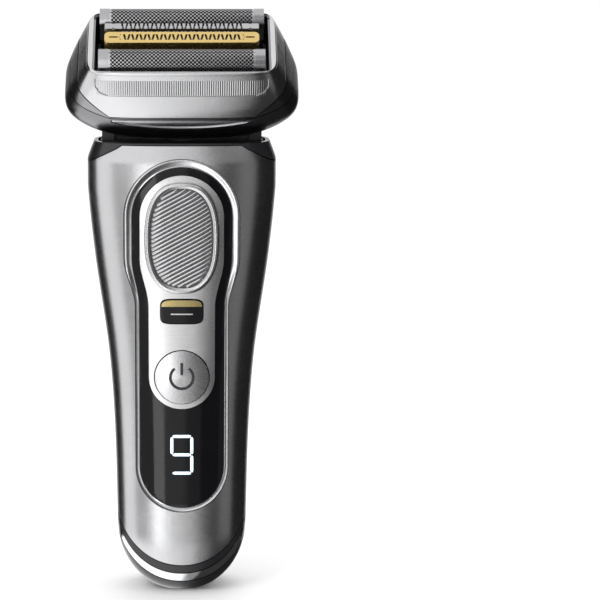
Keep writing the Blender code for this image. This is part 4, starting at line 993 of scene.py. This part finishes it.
for face in trim_body.data.polygons:
    middle = back_home @ face.center
    inside_u = abs(middle.x) < trim_half * 0.93
    depth = between(head_stations, middle.z)[1]
    if inside_u and middle.y > -depth + 0.5 and face.area > 2e-6:
        face.material_index = 1

# ------------------------------------------------------------------------------------
# Release buttons: ribbed black buttons in the sides of the base, pressed to free the
# cassette.  The deck over the motor, the motor and its drive arms lie inside.
for side, node in ((-1, "release_button_left"), (1, "release_button_right")):
    key = head_form(high=split_side)
    key_low = (release_pocket - 1, -release_half, release_low)
    key_high = (head_beyond, release_half, release_high)
    keep(key, block("key", key_low, key_high))
    cut(key, head_form(2.0, high=split_side + 2, fine=False))
    rim_u = between(head_stations, 1.0)[0] - 0.3
    for w in (-0.9, 0.3, 1.5, 2.7):
        cut(key, block("grip", (rim_u, -3.6, w), (head_beyond, 3.6, w + 0.5)))
    rounded_edges(key, 0.15)
    if side < 0:
        key.data.transform(Matrix.Scale(-1, 4, (1, 0, 0)))
        key.data.flip_normals()
    key.name = node + "_key"
    finished(key, head_place, node.replace("_button", ""), black_plastic, "soft_black", node)
dressed(black_plastic, "soft_black", "head_deck")
copper = polished("copper", (0.66, 0.32, 0.17), 0.34)
windings = copper.noise(1.0, 3, (0.3, 0.3, 7.0))
copper.bump(windings, 0.06)
dressed(copper, "copper", "motor_coil")
dressed(blade_steel, "blade_steel", "motor_core", "drive_arm_front", "drive_arm_rear")

# ------------------------------------------------------------------------------------
# Cassette frame: black moulded tub that lifts off the base, open in the middle where
# the shaving units float, grey outside, with pockets for its silver skins and a seat
# for the bright rim ring round its mouth.
opening_half = (24.6, 12.5)
skin_thick = 0.6
skin_top, skin_low, skin_side, skin_shoulder, skin_depth = 19.2, 5.4, 29.4, 13.0, 0.2
rim_foot = 19.25


def skin_region(grow=0.0):
    """Straight foot, diagonal sides and square top."""
    right = [
        (split_flat, skin_low - grow),
        (skin_side + grow, skin_shoulder - grow),
        (skin_side + grow, skin_top + grow),
    ]
    return right + [(-u, w) for u, w in reversed(right)]


def cornered(half, radius):
    """A rectangle with round corners."""
    points = []
    for number in range(4):
        for step in range(9):
            turn = pi / 2 * (number + step / 8)
            a = copysign(half[0] - radius, cos(pi / 4 + number * pi / 2)) + radius * cos(turn)
            b = copysign(half[1] - radius, sin(pi / 4 + number * pi / 2)) + radius * sin(turn)
            points.append((a, b))
    return points


tub = head_form(low=split_front - 1)
keep(tub, prism("above_split", split_region(seam, head_beyond), -head_beyond, head_beyond))
cut(tub, prism("opening", cornered(opening_half, 1.2), 0, head_beyond, "Z"))
cut(tub, head_form(head_wall, 0, deck_high + seam, fine=False))
for side in (-1, 1):
    near, far = sorted((side * (skin_depth - seam), side * head_beyond))
    pocket = prism("skin_pocket", skin_region(seam), near, far)
    cut(tub, cut(pocket, head_form(skin_thick + seam, 0, head_rim + 2)))
cut(tub, block("rim_seat", (-head_beyond, -head_beyond, rim_foot), (head_beyond, head_beyond, head_beyond)))
rounded_edges(tub, 0.2, 2)
tub.name = "cassette_tub"
tub_black = moulded(
    "tub_black", (0.02, 0.02, 0.022), 0.26, place=head_place, Coat_Weight=0.4, Coat_Roughness=0.1
)
finished(tub, head_place, "cassette", tub_black, "soft_black", "cassette_frame")
side_grey = painted_metal("side_grey", (0.3, 0.3, 0.31), 0.22, head_place)
tub.data.materials.append(side_grey.material)
to_head = head_place.inverted()
for face in tub.data.polygons:
    middle = to_head @ face.center
    if abs(middle.x) > opening_half[0] + 0.3 or abs(middle.y) > opening_half[1] + 0.3:
        face.material_index = 1

rim_ring = head_form(low=rim_foot)
cut(rim_ring, prism("rim_opening", cornered((25.1, 12.8), 1.5), 0, head_beyond, "Z"))
rounded_edges(rim_ring, 0.3, 3)
rim_ring.name = "frame_rim"
rim_paint = painted_metal("rim_paint", (0.66, 0.66, 0.67), 0.2, head_place)
finished(rim_ring, head_place, "cassette", rim_paint, "satin_silver")

# ------------------------------------------------------------------------------------
# Silver skins of the frame: painted front and rear plates pressed into its pockets,
# each with a recessed strip of fine upright ribbing.
strip_low, strip_high, strip_half = 12.6, 17.6, 24.4
skin_paint = painted_metal("skin_paint", (0.6, 0.6, 0.61), 0.22, head_place)
in_strip = (skin_paint.axis(0).math("ABSOLUTE") < strip_half - 0.5) * (skin_paint.axis(2) > strip_low + 0.2)
in_strip = in_strip * (skin_paint.axis(2) < strip_high - 0.2)
strip_lines = (skin_paint.axis(0) * (2 * pi / 0.62)).math("SINE") * 0.5 + 0.5
lined = in_strip * strip_lines
skin_paint.bump(skin_paint.noise(14, 2) * 0.15 + lined, 0.035)
sheen = skin_paint.noise(0.08, 3)
plain = skin_paint.mix(sheen, (0.54, 0.54, 0.55), (0.68, 0.68, 0.69))
# Colour darker over the recessed strip and darker again in the grooves of its ribbing: painted shade.
skin_paint.feed("Base Color", skin_paint.mix(in_strip * 0.12 + lined * 0.16, plain, (0.2, 0.2, 0.21)))
for side, node in ((-1, "frame_front_panel"), (1, "frame_rear_panel")):
    near, far = sorted((side * skin_depth, side * head_beyond))
    sheet = head_form(low=split_front)
    keep(sheet, prism("skin_part", skin_region(), near, far))
    cut(sheet, head_form(skin_thick, 0, head_rim + 2))
    groove = [
        (strip_half - 3.4, strip_low), (strip_half - 1.2, strip_low + 0.9), (strip_half, strip_low + 2.6),
        (strip_half, strip_high), (-strip_half, strip_high), (-strip_half, strip_low + 2.6),
        (1.2 - strip_half, strip_low + 0.9), (3.4 - strip_half, strip_low),
    ]
    hollow = prism("strip_recess", groove, near, far)
    cut(sheet, cut(hollow, head_form(0.28, 0, head_rim + 2)))
    rounded_edges(sheet, 0.15, 2)
    sheet.name = node + "_plate"
    finished(sheet, head_place, "cassette", skin_paint, "satin_silver", node)
dressed(inner_plastic, "inner_plastic", "cassette_carrier")


# ------------------------------------------------------------------------------------
# Foil units: a thin perforated steel foil arched over a black holder at the front and
# at the rear, with plain steel bands at its ends.  Each covers a vaned cutter.
foil_v, foil_radius, foil_skin, foil_centre = 9.0, 3.09, 0.35, 20.9
foil_half, foil_foot = 23.2, 15.8
band_length, band_thick = 2.6, 0.1
hole_pitch = 1.15


def arch(radius, v, foot, count=48):
    """Upright arch: straight legs under a half circle."""
    turns = [pi * k / count for k in range(count + 1)]
    top = [(v + radius * cos(a), foil_centre + radius * sin(a)) for a in turns]
    return [(v + radius, foot), *top, (v - radius, foot)]


def perforated(name, v):
    """Steel foil with staggered holes, plain at the ends, and a dark reflection line painted along its crest
    over a slight dip in relief.
    """
    steel = Finish(name, (0.6, 0.6, 0.61), 0.3, 1.0, head_place)
    turn = steel.node(
        "ShaderNodeMath", {"operation": "ARCTAN2"}, [steel.axis(2) - foil_centre, steel.axis(1) - v]
    )
    along = (steel.axis(0) * (2 * pi / hole_pitch)).math("SINE")
    round_it = (turn * (2 * pi * foil_radius / hole_pitch)).math("SINE")
    middle = steel.axis(0).math("ABSOLUTE") < (foil_half - band_length - 0.6)
    holes = (along * round_it * 4.0 + 0.8).clamp() * middle
    crest = (1 - (turn - 1.72).math("ABSOLUTE") * 14).clamp()
    cloud = steel.noise(0.3, 3)
    metal = steel.mix(cloud, (0.4, 0.4, 0.41), (0.56, 0.56, 0.57))
    # Near-black line along the crest of the arch, mixed into the colour: a painted dark reflection band.
    painted_crest_reflection = steel.mix(crest * 0.85, metal, (0.04, 0.04, 0.04))
    steel.feed("Base Color", steel.mix(holes, painted_crest_reflection, (0.02, 0.02, 0.02)))
    steel.feed("Roughness", cloud * 0.1 + holes * 0.3 + 0.2)
    steel.bump(1 - holes - crest * 0.5, 0.06)
    return steel


end_steel = polished("end_steel", (0.44, 0.44, 0.45), 0.24, head_place)
for side, label in ((-1, "front"), (1, "rear")):
    v = side * foil_v
    foil = prism("foil", arch(foil_radius - band_thick, v, foil_foot), -foil_half, foil_half, "X")
    inside = arch(foil_radius - foil_skin, v, foil_foot - 1, 24)
    cut(foil, prism("inside", inside, -foil_half - 1, foil_half + 1, "X"))
    foil.name = label + "_perforated_foil"
    unit = label + "_foil_unit"
    foil_steel = perforated(label + "_foil_steel", v)
    finished(foil, head_place, unit, foil_steel, "foil_steel", label + "_foil")
    for end in (-1, 1):
        near, far = sorted((end * (foil_half + 0.15), end * (foil_half - band_length)))
        wrap = prism("wrap", arch(foil_radius, v, foil_foot + 0.2), near, far, "X")
        hollow = arch(foil_radius - band_thick + 0.005, v, foil_foot - 1)
        cut(wrap, prism("wrap_inside", hollow, near - 1, far + 1, "X"))
        wrap.name = f"{label}_foil_band_{'left' if end < 0 else 'right'}"
        finished(wrap, head_place, unit, end_steel, "foil_steel")
dressed(black_plastic, "soft_black", "front_foil_holder", "rear_foil_holder")
# The cutters and trimmer blades inside the head get steel darkened to near black: painted shade for blades
# that lie inside the head.
shaded_blade = brushed("shaded_blade", (0.12, 0.12, 0.125), 0.4, 0, head_place)
dressed(shaded_blade, "blade_steel", "front_cutter", "rear_cutter", "gold_trimmer_blade", "comb_trimmer_blade")

# ------------------------------------------------------------------------------------
# Middle trimmers: a gold-coated guard pierced by a zigzag slot, with a slot and three
# dots at each end, and a narrow steel comb guard behind it; blades swing inside them.
unit_foot = 12.2
guard_half, guard_wall, guard_end = 21.9, 0.45, 1.0
gold_v, gold_half, gold_top = -1.0, 2.4, 22.6
comb_v, comb_guard_half, comb_guard_top = 3.75, 1.2, 22.8


def guard_box(v, half, top, corner):
    """Hollow box open below, its corners rounded from above."""
    outline = [(u, v + b) for u, b in cornered((guard_half, half), corner)]
    guard = prism("guard", outline, unit_foot, top, "Z")
    rounded_edges(guard, 0.14, 3)
    inner = half - guard_wall
    low = (guard_end - guard_half, v - inner, 0)
    return cut(guard, block("guard_inside", low, (guard_half - guard_end, v + inner, top - guard_wall)))


gold_guard = guard_box(gold_v, gold_half, gold_top, 1.5)
slits = []
slit_pitch, slit_half, slit_reach = 1.15, 0.3, 1.25
for k in range(29):
    u, lean = -16.1 + slit_pitch * k, 0.22 if k % 2 else -0.22
    foot, head = u - lean, u + lean
    slit = [(foot - slit_half, -slit_reach), (foot + slit_half, -slit_reach)]
    slit += [(head + slit_half, slit_reach), (head - slit_half, slit_reach)]
    slits.append([[(a, gold_v + b, w) for a, b in slit] for w in (gold_top - 1, gold_top + 1)])
for end in (-1, 1):
    holes = [oval((1.3, 0.3), 4, 32, (end * 19.3, gold_v))]
    for v in (-1.0, 0.0, 1.0):
        holes.append(oval((0.2, 0.2), 2, 16, (end * (17.6 - 0.25 * abs(v)), gold_v + v)))
    slits += [[[(a, b, w) for a, b in hole] for w in (gold_top - 1, gold_top + 1)] for hole in holes]
cut(gold_guard, joined_shells("gold_slits", slits))
gold_guard.name = "gold_guard"
gold_coat = polished("gold_coat", (0.74, 0.55, 0.22), 0.26, head_place)
finished(gold_guard, head_place, "gold_trimmer_unit", gold_coat, "gold_coating", "gold_trimmer_guard")

comb_guard = guard_box(comb_v, comb_guard_half, comb_guard_top, 0.3)
teeth = []
gap_pitch, gap_half, gap_reach = 1.2, 0.27, 2
for k in range(-14, 15):
    u, lean = gap_pitch * k, 0.3 if k % 2 else -0.3
    foot, head = u - lean, u + lean
    gap = [(foot - gap_half, -gap_reach), (foot + gap_half, -gap_reach)]
    gap += [(head + gap_half, gap_reach), (head - gap_half, gap_reach)]
    teeth.append([[(a, comb_v + b, w) for a, b in gap] for w in (comb_guard_top - 1.2, comb_guard_top + 1)])
cut(comb_guard, joined_shells("comb_slots", teeth))
for end in (-1, 1):
    for v in (-1, 1):
        low = (end * 19.4 - 0.35, comb_v + v * 1.2 - 0.3, comb_guard_top - 0.5)
        cut(comb_guard, block("notch", low, (end * 19.4 + 0.35, comb_v + v * 1.2 + 0.3, 30)))
comb_guard.name = "comb_guard"
comb_steel = polished("comb_steel", (0.5, 0.5, 0.51), 0.24, head_place)
finished(comb_guard, head_place, "comb_trimmer_unit", comb_steel, "foil_steel", "comb_trimmer_guard")

# ------------------------------------------------------------------------------------
# Set: pale floor, white surroundings and a drum of grey cards that only mirror-like
# surfaces see, which gives the metal its light and dark bands.
bpy.ops.mesh.primitive_plane_add(size=30, location=(0, 0, 0))
floor = bpy.context.active_object
floor.name = "floor"
floor.visible_glossy = False
floor_paint = bpy.data.materials.new("floor_paint")
floor_paint.use_nodes = True
floor_shader = floor_paint.node_tree.nodes["Principled BSDF"]
floor_shader.inputs["Base Color"].default_value = (0.96, 0.96, 0.96, 1)
floor_shader.inputs["Roughness"].default_value = 0.55
floor.data.materials.append(floor_paint)

world = bpy.data.worlds.new("studio")
scene.world = world
world.use_nodes = True
sky = world.node_tree.nodes["Background"]
sky.inputs["Color"].default_value = (1, 1, 1, 1)
sky.inputs["Strength"].default_value = 1.05


drum_radius, drum_foot = 0.3, -0.1


def glossy_only(name, sheet, level):
    """Finish a card as an object that only mirror-like surfaces see."""
    mesh = bpy.data.meshes.new(name)
    sheet.to_mesh(mesh)
    sheet.free()
    paper = bpy.data.materials.new(name)
    paper.use_nodes = True
    paper.node_tree.nodes.clear()
    light = paper.node_tree.nodes.new("ShaderNodeEmission")
    light.inputs["Color"].default_value = (1, 1, 1, 1)
    light.inputs["Strength"].default_value = level
    end = paper.node_tree.nodes.new("ShaderNodeOutputMaterial")
    paper.node_tree.links.new(light.outputs[0], end.inputs["Surface"])
    mesh.materials.append(paper)
    made = bpy.data.objects.new(name, mesh)
    scene.collection.objects.link(made)
    made.visible_camera = False
    made.visible_diffuse = False
    made.visible_shadow = False
    made.visible_transmission = False


def card(name, from_azimuth, to_azimuth, low, high, level):
    """Part of an upright drum round the shaver; azimuths run from the front."""
    sheet = bmesh.new()
    rows = []
    for height in (low, high):
        turns = [radians(from_azimuth + (to_azimuth - from_azimuth) * k / 16) for k in range(17)]
        rows.append([sheet.verts.new((drum_radius * sin(a), -drum_radius * cos(a), height)) for a in turns])
    for k in range(16):
        sheet.faces.new((rows[0][k], rows[0][k + 1], rows[1][k + 1], rows[1][k]))
    glossy_only(name, sheet, level)


def ground(name, from_azimuth, to_azimuth, level):
    """Part of the disc that closes the drum below."""
    sheet = bmesh.new()
    turns = [radians(from_azimuth + (to_azimuth - from_azimuth) * k / 32) for k in range(33)]
    ring = [sheet.verts.new((drum_radius * sin(a), -drum_radius * cos(a), drum_foot)) for a in turns]
    middle = sheet.verts.new((0, 0, drum_foot))
    for first, second in zip(ring, ring[1:]):
        sheet.faces.new((middle, first, second))
    glossy_only(name, sheet, level)


for name, from_azimuth, to_azimuth, low, high, level in (
    ("front_left_card", -50, -17, drum_foot, 0.17, 0.52),
    ("slim_light", -17, -7, drum_foot, 0.17, 3.0),
    ("front_light", -7, 1, drum_foot, 0.17, 0.8),
    ("front_card", 1, 8, drum_foot, 0.17, 0.3),
    ("front_right_card", 8, 30, drum_foot, 0.2, 0.05),
    ("right_strip", 30, 60, drum_foot, 0.4, 0.22),
    ("right_dark", 60, 148, drum_foot, 0.5, 0.02),
    ("back_right_strip", 148, 172, drum_foot, 0.5, 0.5),
    ("left_light", -96, -50, drum_foot, 0.4, 1.15),
    ("left_dark", -148, -96, drum_foot, 0.5, 0.02),
    ("back_left_strip", -172, -148, drum_foot, 0.5, 0.5),
    ("upper_light", -50, 4, 0.17, 0.5, 1.15),
    ("upper_grey", 4, 30, 0.2, 0.5, 0.22),
):
    card(name, from_azimuth, to_azimuth, low, high, level)
ground("ground_light", -180, 2, 1.5)
ground("ground_grey", 2, 20, 0.3)
ground("ground_dark", 20, 180, 0.04)


def lamp(name, size, place, power):
    """A square soft lamp aimed at the shaver's middle."""
    data = bpy.data.lights.new(name, "AREA")
    data.size = size
    data.energy = power
    made = bpy.data.objects.new(name, data)
    scene.collection.objects.link(made)
    made.location = place
    aim = Vector((0, 0, 0.08)) - Vector(place)
    made.rotation_euler = aim.to_track_quat("-Z", "Y").to_euler()
    made.visible_camera = False
    made.visible_glossy = False


lamp("key_lamp", 0.5, (-0.6, -0.7, 0.9), 4)
lamp("top_lamp", 0.6, (0.1, 0.2, 1.2), 3)

# Camera: a long lens a little above the shaver, which stands left of the middle.
camera_distance = 0.732
camera_lift = radians(10)
camera_aim = Vector((0, base_face["pos_m"][1], 0.0858))
camera_data = bpy.data.cameras.new("portrait_camera")
camera_data.lens = 150
camera_data.sensor_width = 36
camera_data.shift_x = 0.197
camera = bpy.data.objects.new("portrait_camera", camera_data)
scene.collection.objects.link(camera)
camera.location = camera_aim + camera_distance * Vector((0, -cos(camera_lift), sin(camera_lift)))
camera.rotation_euler = (pi / 2 - camera_lift, 0, 0)
scene.camera = camera
